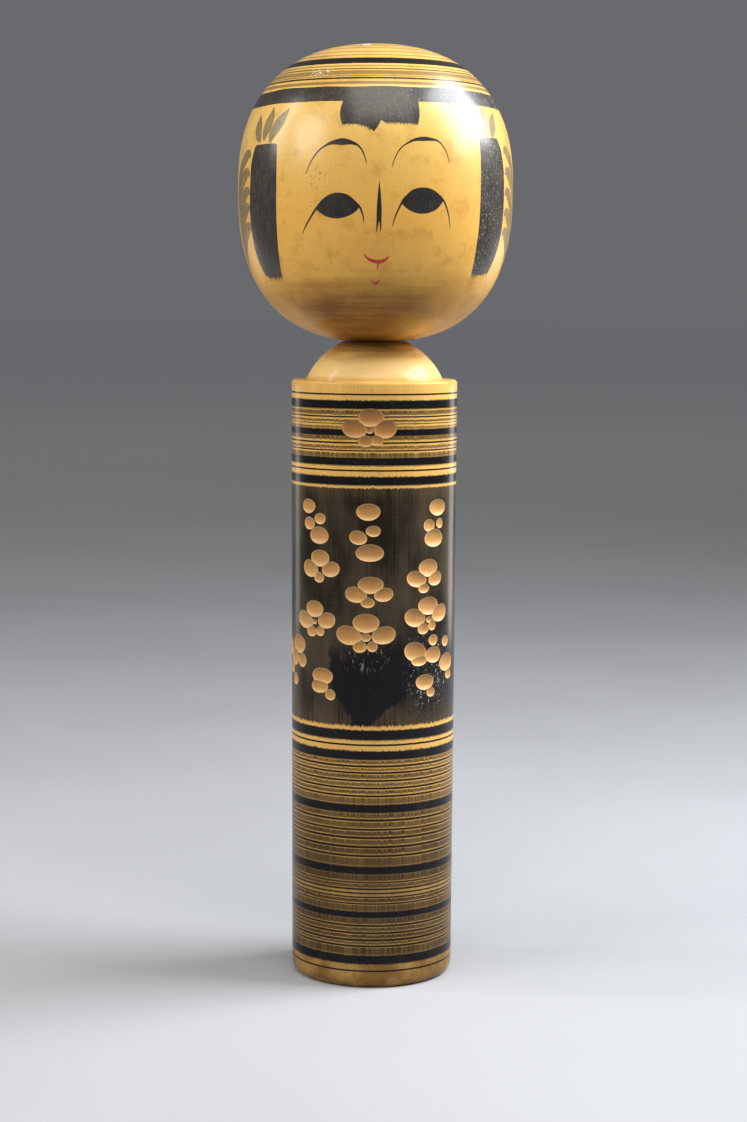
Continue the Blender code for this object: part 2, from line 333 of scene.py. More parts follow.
def turned_mesh(name, profile, segments):
    """A closed solid turned about Z from (radius, height) points that begin and end on it."""
    mesh = bmesh.new()
    rings = []
    for radius, height in profile:
        if radius < 1e-7:
            rings.append([mesh.verts.new((0.0, 0.0, height))])
            continue
        ring = []
        for i in range(segments):
            angle = math.pi * (2 * i / segments - 1)
            across, back = radius * math.sin(angle), -radius * math.cos(angle)
            ring.append(mesh.verts.new((across, back, height)))
        rings.append(ring)
    for lower, upper in zip(rings, rings[1:]):
        for i in range(segments):
            j = (i + 1) % segments
            if len(lower) == 1:
                mesh.faces.new((lower[0], upper[j], upper[i]))
            elif len(upper) == 1:
                mesh.faces.new((lower[i], lower[j], upper[0]))
            else:
                mesh.faces.new((lower[i], lower[j], upper[j], upper[i]))
    bmesh.ops.recalc_face_normals(mesh, faces=mesh.faces)
    return linked(name, mesh)


def lay_out(piece, profile, weights):
    """A map round the piece: angle across, and weighted distance along the profile upward."""
    marks = [0.0]
    for a, b, weight in zip(profile, profile[1:], weights):
        marks.append(marks[-1] + math.dist(a, b) * weight)
    total = marks[-1]

    mesh = piece.data
    points = np.array([vertex.co for vertex in mesh.vertices])
    radii = np.hypot(points[:, 0], points[:, 1])
    nearest = np.full(len(points), 1e9)
    along = np.zeros(len(points))
    for i in range(len(profile) - 1):
        (r0, z0), (r1, z1) = profile[i], profile[i + 1]
        dr, dz = r1 - r0, z1 - z0
        part = ((radii - r0) * dr + (points[:, 2] - z0) * dz) / (dr * dr + dz * dz)
        part = np.clip(part, 0.0, 1.0)
        gap = (radii - r0 - part * dr) ** 2 + (points[:, 2] - z0 - part * dz) ** 2
        closer = gap < nearest
        nearest[closer] = gap[closer]
        along[closer] = marks[i] + (marks[i + 1] - marks[i]) * part[closer]
    turn = np.arctan2(points[:, 0], -points[:, 1]) / (2 * math.pi) + 0.5
    places = [
        (float(angle) if radius > 1e-6 else None, float(up) / total)
        for angle, radius, up in zip(turn, radii, along)
    ]
    rim, span = 0.004, 0.992
    layer = mesh.uv_layers.new(name="OFBake")
    for polygon in mesh.polygons:
        known = [places[v][0] for v in polygon.vertices if places[v][0] is not None]
        seam = max(known) - min(known) > 0.5
        known = [k + 1.0 if seam and k < 0.5 else k for k in known]
        middle = sum(known) / len(known)
        for loop, vertex in zip(polygon.loop_indices, polygon.vertices):
            across, up = places[vertex]
            if across is None:
                across = middle
            elif seam and across < 0.5:
                across += 1.0
            layer.data[loop].uv = (rim + span * across, rim + span * up)


def finish_mesh(piece, sharp_degrees):
    """Smooth shading with sharp edges kept where faces meet at more than an angle."""
    mesh = piece.data
    mesh.polygons.foreach_set("use_smooth", [True] * len(mesh.polygons))
    mesh.set_sharp_from_angle(angle=math.radians(sharp_degrees))
    mesh.update()


def add_piece(piece, body, slot, *nodes):
    """Lets the piece ride on its body and stand for CAD nodes, whose parts it hides. The slot is
    not used.
    """
    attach(piece, body)
    if nodes:
        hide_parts(*nodes)


def add_mark(piece, finish):
    """Lets a painted mark ride on the head."""
    piece.data.materials.append(finish)
    add_piece(piece, "head", "amber_head_wood")


def column_radius(settings, height):
    """Radius of the column's skin at a height."""
    top = SEAT - settings.shoulder_rise
    return COLUMN_RADIUS - settings.base_narrowing * (1 - height / top)


def body_profile(settings):
    """The column from the middle of its base, up its side, over the dome, into the socket."""
    top = SEAT - settings.shoulder_rise
    foot_width, foot_height, rim = 4.0 * MM, 6.0 * MM, 1.8 * MM
    base = column_radius(settings, foot_height)
    foot = arc((base - foot_width, foot_height), (foot_width, foot_height), -90, 0)
    edge = arc((COLUMN_RADIUS - rim, top - rim), (rim, rim), 0, 90)
    dome_foot = COLUMN_RADIUS - settings.ledge_width
    seat = settings.seat_radius
    drop = (dome_foot**2 - seat**2 - settings.shoulder_rise**2) / (2 * settings.shoulder_rise)
    radius = math.hypot(dome_foot, drop)
    low = math.degrees(math.atan2(drop, dome_foot))
    high = math.degrees(math.atan2(settings.shoulder_rise + drop, seat))
    dome = arc((0.0, top - drop), (radius, radius), low, high, 48)
    wall = PEG_HIGH.x - BEAD_RISE
    groove = wall + GROOVE_DEPTH
    middle = SEAT - GROOVE_DROP
    floor = PEG_LOW.z - SPARE_DEPTH
    socket = [
        (wall, SEAT), (wall, middle + GROOVE_MOUTH), (groove, middle + GROOVE_FLOOR),
        (groove, middle - GROOVE_FLOOR), (wall, middle - GROOVE_MOUTH), (wall, floor),
        (0.0, floor),
    ]
    runs = [
        (spaced([(0.0, 0.0), foot[0]], 4 * MM), 0.45),
        (spaced(foot, 0.7 * MM), 1.0),
        (spaced([foot[-1], edge[0]], 3.0 * MM), 1.0),
        (spaced(edge, 0.35 * MM), 1.0),
        (spaced([edge[-1], (dome_foot, top)], 1.8 * MM), 0.6),
        (spaced(dome, 1.6 * MM), 0.6),
        (spaced([dome[-1], (wall, SEAT)], 2.6 * MM), 0.3),
        (socket, 0.12),
    ]
    return joined(runs)


def scoop(settings, name, angle, height, half_width, half_height, tilt, leaning):
    """The cutter that takes one petal out of the column's skin."""
    shallowest, lift_share, fullness = 0.6 * MM, 0.6, 0.10
    radius = column_radius(settings, height)
    depth = max(settings.petal_depth * half_width, shallowest)
    reach = depth / (1 - lift_share)
    lift = lift_share * reach
    fall = radius - math.sqrt(radius**2 - half_width**2)
    across = half_width / math.sqrt(1 - min((lift + fall) / reach, 0.9) ** 2)
    upward = half_height / math.sqrt(1 - lift_share**2)
    ball = bmesh.new()
    bmesh.ops.create_uvsphere(ball, u_segments=40, v_segments=28, radius=1.0)
    for vertex in ball.verts:
        # A little fuller away from the blossom's heart, as the gouge leaves it.
        vertex.co.x *= 1.0 + fullness * leaning[1] * vertex.co.y
        vertex.co.y *= 1.0 + fullness * leaning[0] * vertex.co.x
    mesh = bpy.data.meshes.new(name)
    ball.to_mesh(mesh)
    ball.free()
    outward = Vector((math.sin(angle), -math.cos(angle), 0.0))
    sideways = Vector((math.cos(angle), math.sin(angle), 0.0))
    turn = Matrix((sideways, Vector((0.0, 0.0, 1.0)), outward)).transposed().to_4x4()
    place = Matrix.Translation(outward * (radius + lift) + Vector((0.0, 0.0, height)))
    size = Matrix.Diagonal((across, upward, reach, 1.0))
    mesh.transform(place @ turn @ Matrix.Rotation(tilt, 4, "Z") @ size)
    return bpy.data.objects.new(name, mesh)


def carve_blossoms(piece, settings, skin, raw):
    """Cuts every petal and leaves raw wood in the cuts."""
    piece.data.materials.append(skin)
    piece.data.materials.append(raw)
    cutters = bpy.data.collections.new("petal_cutters")
    bpy.context.scene.collection.children.link(cutters)
    top = SEAT - settings.shoulder_rise
    for number, (degrees, drop, petals) in enumerate(BLOSSOMS, 1):
        for count, (across, up, half_width, half_height) in enumerate(petals, 1):
            height = top + (up - drop) * MM
            angle = math.radians(degrees) + across * MM / column_radius(settings, height)
            beside = abs(across) > 4.5 and up > -4.5
            tilt = math.copysign(math.radians(10), across) if beside else 0.0
            away = Vector((across, up))
            away = away.normalized() if away.length > 1 else away * 0
            cutter = scoop(
                settings, f"petal_{number:02d}_{count}", angle, height,
                half_width * MM, half_height * MM, tilt, away,
            )
            cutter.data.materials.append(raw)
            cutters.objects.link(cutter)
    cut = piece.modifiers.new("Petals", "BOOLEAN")
    cut.operation = "DIFFERENCE"
    cut.operand_type = "COLLECTION"
    cut.collection = cutters
    cut.solver = "MANIFOLD"
    cut.material_mode = "TRANSFER"
    graph = bpy.context.evaluated_depsgraph_get()
    graph.update()
    carved = bpy.data.meshes.new_from_object(piece.evaluated_get(graph))
    piece.modifiers.clear()
    old = piece.data
    piece.data = carved
    carved.name = piece.name
    bpy.data.meshes.remove(old)
    for cutter in list(cutters.objects):
        bpy.data.meshes.remove(cutter.data)
    bpy.data.collections.remove(cutters)
    used = {polygon.material_index for polygon in carved.polygons}
    if len(used) < 2:
        raise RuntimeError("the petals were not cut into the column")


def head_shells(settings):
    """Height of the widest ring and the reach of the upper and lower shells."""
    tall = HEAD_HIGH.z - HEAD_BASE
    widest = HEAD_BASE + tall * settings.widest_share
    flat = (HEAD_FOOT / HEAD_RADIUS) ** settings.lower_power
    lower = (widest - HEAD_BASE) / (1 - flat) ** (1 / settings.lower_power)
    return widest, HEAD_HIGH.z - widest, lower


def head_point(settings, round_mm, up_mm, lift):
    """A point over the head's skin, and how far off the skin it stands."""
    widest, upper, lower = head_shells(settings)
    height = HEAD_BASE + up_mm * MM
    tall, power = lower, settings.lower_power
    if height > widest:
        tall, power = upper, settings.upper_power
    rise = (height - widest) / tall
    radius = HEAD_RADIUS * max(1 - abs(rise) ** power, 0.0) ** (1 / power)
    slope_r = (radius / HEAD_RADIUS) ** (power - 1) / HEAD_RADIUS
    slope_z = math.copysign(abs(rise) ** (power - 1) / tall, rise)
    size = math.hypot(slope_r, slope_z)
    radius += lift * slope_r / size
    height += lift * slope_z / size
    angle = round_mm / HEAD_WIDTH_MM
    return Vector((radius * math.sin(angle), -radius * math.cos(angle), height))


def head_profile(settings):
    """The head from the ceiling of its peg hole, round the outside to the crown."""
    widest, upper, lower = head_shells(settings)
    hole = PEG_HIGH.x - BEAD_RISE
    ceiling = PEG_HIGH.z + SPARE_DEPTH
    low, high = [], []
    last = math.asin(((widest - HEAD_BASE) / lower) ** (settings.lower_power / 2))
    count = 160
    for i in range(count + 1):
        angle = last * (1 - i / count)
        power = 2 / settings.lower_power
        radius = HEAD_RADIUS * math.cos(angle) ** power
        low.append((radius, widest - lower * math.sin(angle) ** power))
        angle = math.pi / 2 * i / count
        power = 2 / settings.upper_power
        radius = HEAD_RADIUS * max(math.cos(angle), 0.0) ** power if i < count else 0.0
        high.append((radius, widest + upper * math.sin(angle) ** power))
    low[0] = (low[0][0], HEAD_BASE)
    runs = [
        ([(0.0, ceiling), (hole, ceiling), (hole, HEAD_BASE)], 0.1),
        (spaced([(hole, HEAD_BASE), low[0]], 2.6 * MM), 0.3),
        (spaced(low, 1.7 * MM), 1.0),
        (spaced(high, 1.7 * MM), 1.0),
    ]
    return joined(runs)


# ---------------------------------------------------------------- brush work

def smooth_line(points, step):
    """A smooth line through points of any number of values, closely spaced."""
    dense, parts = [], 12
    for i in range(len(points) - 1):
        p0 = points[max(i - 1, 0)]
        p1, p2 = points[i], points[i + 1]
        p3 = points[min(i + 2, len(points) - 1)]
        for k in range(parts):
            t = k / parts
            dense.append(tuple(
                0.5 * (2 * b + (c - a) * t + (2 * a - 5 * b + 4 * c - d) * t * t
                       + (3 * b - a - 3 * c + d) * t**3)
                for a, b, c, d in zip(p0, p1, p2, p3)
            ))
    dense.append(tuple(points[-1]))
    return spaced(dense, step)


def stroke(points, step=0.55, fuller=1.0, shift=0.0):
    """The outline of a brush stroke from points with (round, up, width)."""
    finest = 0.12
    line = smooth_line([(x + shift, y, width * fuller) for x, y, width in points], step)
    left, right = [], []
    for i, (x, y, width) in enumerate(line):
        a, b = line[max(i - 1, 0)], line[min(i + 1, len(line) - 1)]
        along = Vector((b[0] - a[0], b[1] - a[1])).normalized()
        half = max(width, finest) / 2
        left.append((x - along.y * half, y + along.x * half))
        right.append((x + along.y * half, y - along.x * half))
    return left + right[::-1]


def blot(points, step=0.7):
    """A smooth closed outline through points."""
    count = len(points)
    ring = [points[i % count] for i in range(-2, count + 3)]
    dense = smooth_line(ring, 0.12)
    start = min(range(len(dense) // 3), key=lambda i: math.dist(dense[i], points[0]))
    end = min(range(len(dense) // 2, len(dense)), key=lambda i: math.dist(dense[i], points[0]))
    return spaced(dense[start:end + 1], step)[:-1]


def bristle_edge(start, end, dice, depth, pitch=0.75, sag=0.0):
    """Points from start to end, hanging down in uneven spikes as dry bristles leave them."""
    span = math.dist(start, end)
    count = max(3, round(span / pitch))
    points = []
    for i in range(count):
        t = (i + 0.5) / count
        x = start[0] + (end[0] - start[0]) * t
        y = start[1] + (end[1] - start[1]) * t - sag * math.sin(math.pi * t)
        half = span / count / 2 * math.copysign(1, end[0] - start[0])
        points.append((x - half * 0.9, y + dice.uniform(-0.1, 0.25)))
        points.append((x + half * dice.uniform(-0.4, 0.4), y - depth * dice.uniform(0.15, 1.0)))
    return points


def without_repeats(outline, closest=0.04):
    """The outline without points that lie almost on the one before."""
    clean = []
    for point in outline:
        if not clean or math.dist(point, clean[-1]) > closest:
            clean.append(point)
    if math.dist(clean[0], clean[-1]) < closest:
        clean.pop()
    return clean


def inside(point, outline):
    """Whether a point lies within a closed outline."""
    x, y = point
    result = False
    for (x0, y0), (x1, y1) in zip(outline, outline[1:] + outline[:1]):
        if (y0 > y) != (y1 > y) and x < (x1 - x0) * (y - y0) / (y1 - y0) + x0:
            result = not result
    return result


def paint_film(name, outlines, head, paint):
    """A thin closed film of dry paint on the head, one patch for each outline."""
    mesh = bmesh.new()
    grid, row_share, margin = 2.4, 0.87, 0.8
    for outline in outlines:
        outline = without_repeats(outline)
        xs = [p[0] for p in outline]
        ys = [p[1] for p in outline]
        fill, row = [], 0
        y = min(ys) + grid / 2
        while y < max(ys):
            x = min(xs) + grid * (0.5 if row % 2 else 1.0)
            while x < max(xs):
                gap = min(math.dist((x, y), point) for point in outline)
                if gap > margin and inside((x, y), outline):
                    fill.append((x, y))
                x += grid
            y += grid * row_share
            row += 1
        count = len(outline)
        flat = [Vector(p) for p in outline + fill]
        edges = [(i, (i + 1) % count) for i in range(count)]
        points, _, faces, _, _, _ = delaunay_2d_cdt(flat, edges, [list(range(count))], 1, 1e-5)
        top = [mesh.verts.new(head_point(head, p.x, p.y, paint.film)) for p in points]
        low = [mesh.verts.new(head_point(head, p.x, p.y, FILM_ROOT)) for p in points]
        sides = {}
        for face in faces:
            mesh.faces.new([top[i] for i in face])
            mesh.faces.new([low[i] for i in reversed(face)])
            sides.update(dict.fromkeys(zip(face, [*face[1:], face[0]])))
        for a, b in sides:
            if (b, a) not in sides:
                mesh.faces.new((top[b], top[a], low[a], low[b]))
    bmesh.ops.recalc_face_normals(mesh, faces=mesh.faces)
    piece = linked(name, mesh)
    finish_mesh(piece, FILM_SHARP)
    return piece


def hair_band(name, head, paint, dice):
    """The band of hair that runs all round the head, as a closed ring of film."""
    segments, rows = 320, 6
    low_edge, high_edge = 110.3, 117.2
    waves = [(dice.uniform(0, 6.28), dice.choice((3, 5, 8, 13, 21))) for _ in range(6)]
    mesh = bmesh.new()
    tops, lows = [], []
    for i in range(segments):
        angle = 2 * math.pi * i / segments
        around = angle * HEAD_WIDTH_MM
        stir = sum(math.sin(angle * turns + start) for start, turns in waves) * 0.05
        top, low = [], []
        for row in range(rows + 1):
            t = row / rows
            up = low_edge + stir * 1.6 + (high_edge - low_edge + stir) * t
            if row in (0, rows):
                up += dice.uniform(-0.07, 0.07)
            top.append(mesh.verts.new(head_point(head, around, up, paint.film)))
            low.append(mesh.verts.new(head_point(head, around, up, FILM_ROOT)))
        tops.append(top)
        lows.append(low)
    for i in range(segments):
        j = (i + 1) % segments
        for row in range(rows):
            mesh.faces.new((tops[i][row], tops[j][row], tops[j][row + 1], tops[i][row + 1]))
            mesh.faces.new((lows[i][row + 1], lows[j][row + 1], lows[j][row], lows[i][row]))
        mesh.faces.new((lows[i][0], lows[j][0], tops[j][0], tops[i][0]))
        mesh.faces.new((tops[i][rows], tops[j][rows], lows[j][rows], lows[i][rows]))
    bmesh.ops.recalc_face_normals(mesh, faces=mesh.faces)
    piece = linked(name, mesh)
    finish_mesh(piece, FILM_SHARP)
    return piece


# Brush marks in mm, each a line of (round, up, width); eyes are outlines of (round, up).
BROWS = [
    [(-33.6, 76.9, 0.25), (-31.2, 82.1, 0.5), (-27.6, 87.0, 0.75), (-24.4, 89.4, 0.85),
     (-20.6, 91.0, 1.7), (-15.9, 91.4, 3.1), (-11.6, 91.0, 1.9), (-8.3, 89.7, 0.9),
     (-5.8, 86.6, 0.6), (-4.1, 81.5, 0.25)],
    [(7.5, 79.8, 0.2), (9.3, 84.8, 0.4), (12.1, 88.9, 0.5), (15.5, 91.2, 0.8), (18.9, 92.6, 1.3),
     (22.9, 93.0, 2.0), (27.0, 92.9, 1.4), (30.9, 91.9, 0.7), (34.3, 87.6, 0.4),
     (35.9, 82.3, 0.2)],
]
EYES = [
    [(-28.1, 61.3), (-24.8, 65.4), (-20.9, 67.7), (-17.0, 68.3), (-12.5, 67.2), (-8.9, 64.2),
     (-7.5, 61.9), (-9.9, 59.2), (-13.6, 57.4), (-18.7, 56.6), (-24.2, 58.0)],
    [(12.1, 64.0), (14.5, 67.5), (17.7, 70.0), (22.0, 70.9), (26.5, 70.3), (30.2, 68.1),
     (32.5, 65.4), (30.6, 62.4), (27.6, 60.2), (22.2, 59.0), (16.5, 60.2)],
]
LIDS = [
    [(-26.0, 63.6, 0.9), (-28.6, 60.7, 1.0), (-31.1, 57.4, 0.8), (-33.9, 53.5, 0.65),
     (-36.3, 49.5, 0.2)],
    [(-9.4, 64.0, 0.9), (-7.3, 61.9, 0.9), (-6.1, 59.2, 0.7), (-5.5, 57.0, 0.55),
     (-5.3, 54.5, 0.2)],
    [(13.6, 65.8, 0.9), (12.0, 63.5, 0.85), (10.4, 60.2, 0.65), (9.1, 57.1, 0.55),
     (8.0, 53.2, 0.2)],
    [(30.8, 67.3, 0.9), (32.9, 65.0, 0.85), (34.7, 61.6, 0.65), (36.2, 57.1, 0.45),
     (37.1, 52.4, 0.2)],
]
NOSE = [
    [(1.8, 73.4, 0.15), (1.8, 70.5, 0.75), (1.8, 67.0, 1.45), (1.8, 61.5, 2.2), (1.75, 57.0, 2.3),
     (1.7, 55.2, 2.2)],
    [(1.15, 56.5, 1.1), (1.0, 54.0, 0.95), (0.5, 50.3, 0.2)],
    [(2.3, 56.5, 1.05), (2.5, 54.0, 0.85), (2.4, 50.6, 0.2)],
]
LIPS = [
    [(-5.4, 40.6, 0.3), (-4.2, 38.9, 0.9), (-1.8, 37.6, 1.5), (1.0, 37.0, 1.7), (3.8, 37.4, 1.5),
     (5.8, 38.5, 1.0), (6.9, 39.9, 0.3)],
    [(1.5, 36.8, 1.3), (1.3, 35.0, 0.7), (0.9, 33.2, 0.2)],
    [(-1.9, 28.2, 0.25), (-0.7, 27.4, 0.9), (0.4, 27.1, 1.35), (1.5, 27.6, 1.1),
     (2.4, 28.7, 0.25)],
]
# The side locks: their top, inner and outer edges.
LOCKS = [
    ([(-52.4, 91.6), (-57.0, 91.8), (-62.5, 91.7), (-68.2, 91.7)],
     [(-51.7, 91.0), (-50.9, 80.0), (-51.2, 62.0), (-51.9, 50.0), (-53.2, 39.0), (-54.9, 30.6)],
     [(-69.6, 90.6), (-71.9, 83.0), (-73.1, 68.0), (-73.7, 56.5), (-73.6, 44.5), (-72.5, 37.0),
      (-71.0, 31.4)]),
    ([(56.6, 94.6), (61.0, 95.2), (66.5, 95.4), (71.2, 95.4)],
     [(55.9, 93.8), (55.4, 80.0), (55.2, 64.0), (55.4, 47.0), (56.0, 38.5), (57.0, 32.2)],
     [(72.2, 94.8), (74.9, 89.5), (76.6, 78.5), (76.9, 64.5), (76.6, 49.5), (75.0, 40.0),
      (72.6, 33.2)]),
]
LEAVES = [
    [(-65.0, 92.9, 1.2), (-67.6, 95.6, 4.2), (-69.4, 99.7, 5.3), (-70.4, 103.0, 3.4),
     (-70.9, 106.0, 0.3)],
    [(-62.0, 93.3, 1.0), (-62.0, 96.6, 4.2), (-60.9, 101.0, 5.9), (-60.2, 105.3, 3.8),
     (-60.4, 109.0, 0.3)],
    [(-57.4, 92.4, 1.6), (-55.8, 96.6, 4.6), (-52.2, 101.6, 5.4), (-49.6, 105.0, 3.1),
     (-47.9, 107.8, 0.3)],
    [(59.8, 95.9, 1.2), (57.6, 98.6, 4.0), (55.4, 102.4, 4.8), (53.7, 105.4, 2.9),
     (52.6, 108.0, 0.3)],
    [(62.6, 96.2, 1.2), (62.1, 99.4, 4.2), (62.0, 103.2, 5.4), (63.4, 106.6, 3.2),
     (64.8, 109.4, 0.3)],
    [(66.8, 96.0, 1.4), (68.6, 99.0, 4.4), (71.0, 102.6, 5.0), (73.4, 105.4, 2.8),
     (75.6, 107.8, 0.3)],
]


def forelock_outline(dice):
    """The forelock: straight sides, and a foot of dry bristles with one longer tip."""
    left = [(-17.0, 112.5), (-17.0, 110.2), (-17.7, 107.6), (-17.9, 105.4), (-17.5, 102.6),
            (-16.6, 100.0)]
    right = [(20.8, 100.2), (21.7, 102.8), (22.1, 105.8), (22.2, 109.0), (22.4, 112.5)]
    first = bristle_edge((-16.4, 99.9), (-7.2, 99.6), dice, 1.7, 0.7)
    second = bristle_edge((-7.0, 99.4), (-2.3, 97.6), dice, 1.8, 0.7)
    tip = [(-2.0, 97.4), (-1.1, 95.9), (0.2, 97.3), (1.6, 99.3), (2.6, 101.4), (3.6, 100.7)]
    third = bristle_edge((4.0, 100.7), (20.6, 100.1), dice, 1.7, 0.7)
    return left + first + second + tip + third + right


def lock_outline(top, inner, outer, dice, depth):
    """A side lock: its top edge, its sides down to the brush's end, and a bristled foot."""
    outer_line = smooth_line([(*p, 0.0) for p in outer], 0.9)
    inner_line = smooth_line([(*p, 0.0) for p in inner], 0.9)
    outer_edge = [(x + dice.uniform(-0.07, 0.07), y) for x, y, _ in outer_line]
    inner_edge = [(x + dice.uniform(-0.07, 0.07), y) for x, y, _ in inner_line]
    foot = bristle_edge(outer_edge[-1], inner_edge[-1], dice, depth, 0.8, 0.6)
    return top + outer_edge + foot + inner_edge[::-1]


def side_strokes(side, start, first_up, pitch, count, dice):
    """Curved strokes of thin ink that sweep back and down beside a lock."""
    strokes = []
    for i in range(count):
        up = first_up - pitch * i + dice.uniform(-0.5, 0.5)
        reach = 1.0 + dice.uniform(-0.06, 0.06)
        strokes.append([
            (side * start, up - 1.5, 1.2),
            (side * (start + 2.4), up, 4.0),
            (side * (start + 7.0 * reach), up - 2.2, 5.6),
            (side * (start + 13.0 * reach), up - 8.0, 5.0),
            (side * (start + 17.5 * reach), up - 15.5, 3.0),
            (side * (start + 20.0 * reach), up - 22.0, 0.3),
        ])
    return strokes


# ---------------------------------------------------------------- wiring of shader nodes

class Value:
    """An output of a node. A sum or product of such values adds a node to the tree."""

    def __init__(self, wiring, socket):
        self.wiring = wiring
        self.socket = socket

    def __add__(self, other):
        return self.wiring.math("ADD", self, other)

    def __sub__(self, other):
        return self.wiring.math("SUBTRACT", self, other)

    def __mul__(self, other):
        return self.wiring.math("MULTIPLY", self, other)

    def __abs__(self):
        return self.wiring.math("ABSOLUTE", self)


class Wiring:
    """Adds nodes to a tree and joins them."""

    def __init__(self, tree):
        self.tree = tree
        self.column = 0

    def node(self, kind, settings=None, **inputs):
        """A new node with its settings and its inputs by name."""
        made = self.tree.nodes.new(kind)
        self.column += 1
        made.location = (180 * self.column, -120 * (self.column % 5))
        for key, value in (settings or {}).items():
            setattr(made, key, value)
        for key, value in inputs.items():
            self.feed(made, key, value)
        return made

    def values(self, node):
        """The outputs of a node by name."""
        return {socket.name: Value(self, socket) for socket in node.outputs}

    def feed(self, node, key, value):
        """Joins a value to an input, or sets it, by the input's name or place."""
        socket = node.inputs[key]
        if isinstance(value, Value):
            self.tree.links.new(value.socket, socket)
        elif hasattr(socket.default_value, "__len__"):
            size = len(socket.default_value)
            values = list(value) if hasattr(value, "__len__") else [value] * 3
            socket.default_value = (values + [1.0])[:size]
        else:
            socket.default_value = value

    def math(self, operation, a, b=0.0, c=None, clamp=False):
        """A sum that has no sign of its own, or is kept between none and one."""
        made = self.node("ShaderNodeMath", {"operation": operation, "use_clamp": clamp})
        self.feed(made, 0, a)
        self.feed(made, 1, b)
        if c is not None:
            self.feed(made, 2, c)
        return Value(self, made.outputs[0])

    def blend(self, factor, a, b, kind="MIX"):
        """Colour b laid over colour a."""
        settings = {"data_type": "RGBA", "blend_type": kind, "clamp_factor": True}
        made = self.node("ShaderNodeMix", settings)
        for place, value in ((0, factor), (6, a), (7, b)):
            self.feed(made, place, value)
        return Value(self, made.outputs[2])

    def between(self, value, low, high, to_low=0.0, to_high=1.0, smooth=True):
        """A rise or fall from one level to another as a value goes from low to high."""
        kind = "SMOOTHSTEP" if smooth else "LINEAR"
        made = self.node("ShaderNodeMapRange", {"interpolation_type": kind})
        for place, entry in enumerate((value, low, high, to_low, to_high)):
            self.feed(made, place, entry)
        return Value(self, made.outputs[0])

    def stretched(self, vector, scale):
        """A place scaled along each axis."""
        made = self.node("ShaderNodeVectorMath", {"operation": "MULTIPLY"})
        self.feed(made, 0, vector)
        self.feed(made, 1, scale)
        return Value(self, made.outputs[0])

    def noise(self, vector, scale, detail, roughness):
        """Cloudy noise, drawn out along an axis where the scale has three parts."""
        if isinstance(scale, tuple):
            vector, scale = self.stretched(vector, scale), 1.0
        made = self.node("ShaderNodeTexNoise", Scale=scale, Detail=detail, Roughness=roughness,
                         Vector=vector)
        return Value(self, made.outputs[0])

    def spots(self, vector, scale):
        """Distance to the nearest of many scattered points."""
        made = self.node("ShaderNodeTexVoronoi", Scale=scale, Vector=vector)
        return Value(self, made.outputs["Distance"])

    def near(self, value, centre, outer, inner):
        """One close to a centre, fading to nothing at an outer distance from it."""
        return self.between(abs(value - centre), outer, inner)

    def group(self, name, **inputs):
        """The outputs of a shared effect."""
        tree = bpy.data.node_groups[name]
        return self.values(self.node("ShaderNodeGroup", {"node_tree": tree}, **inputs))


def new_group(name, inputs, outputs):
    """An empty shader group with named sockets, and its wiring."""
    tree = bpy.data.node_groups.new(name, "ShaderNodeTree")
    kinds = {"f": "NodeSocketFloat", "c": "NodeSocketColor", "v": "NodeSocketVector"}
    for label, kind, value in inputs:
        socket = tree.interface.new_socket(label, in_out="INPUT", socket_type=kinds[kind])
        if value is not None:
            socket.default_value = (*value, 1.0) if kind == "c" else value
    for label, kind in outputs:
        tree.interface.new_socket(label, in_out="OUTPUT", socket_type=kinds[kind])
    wiring = Wiring(tree)
    given = wiring.values(wiring.node("NodeGroupInput"))
    return wiring, given, wiring.node("NodeGroupOutput")


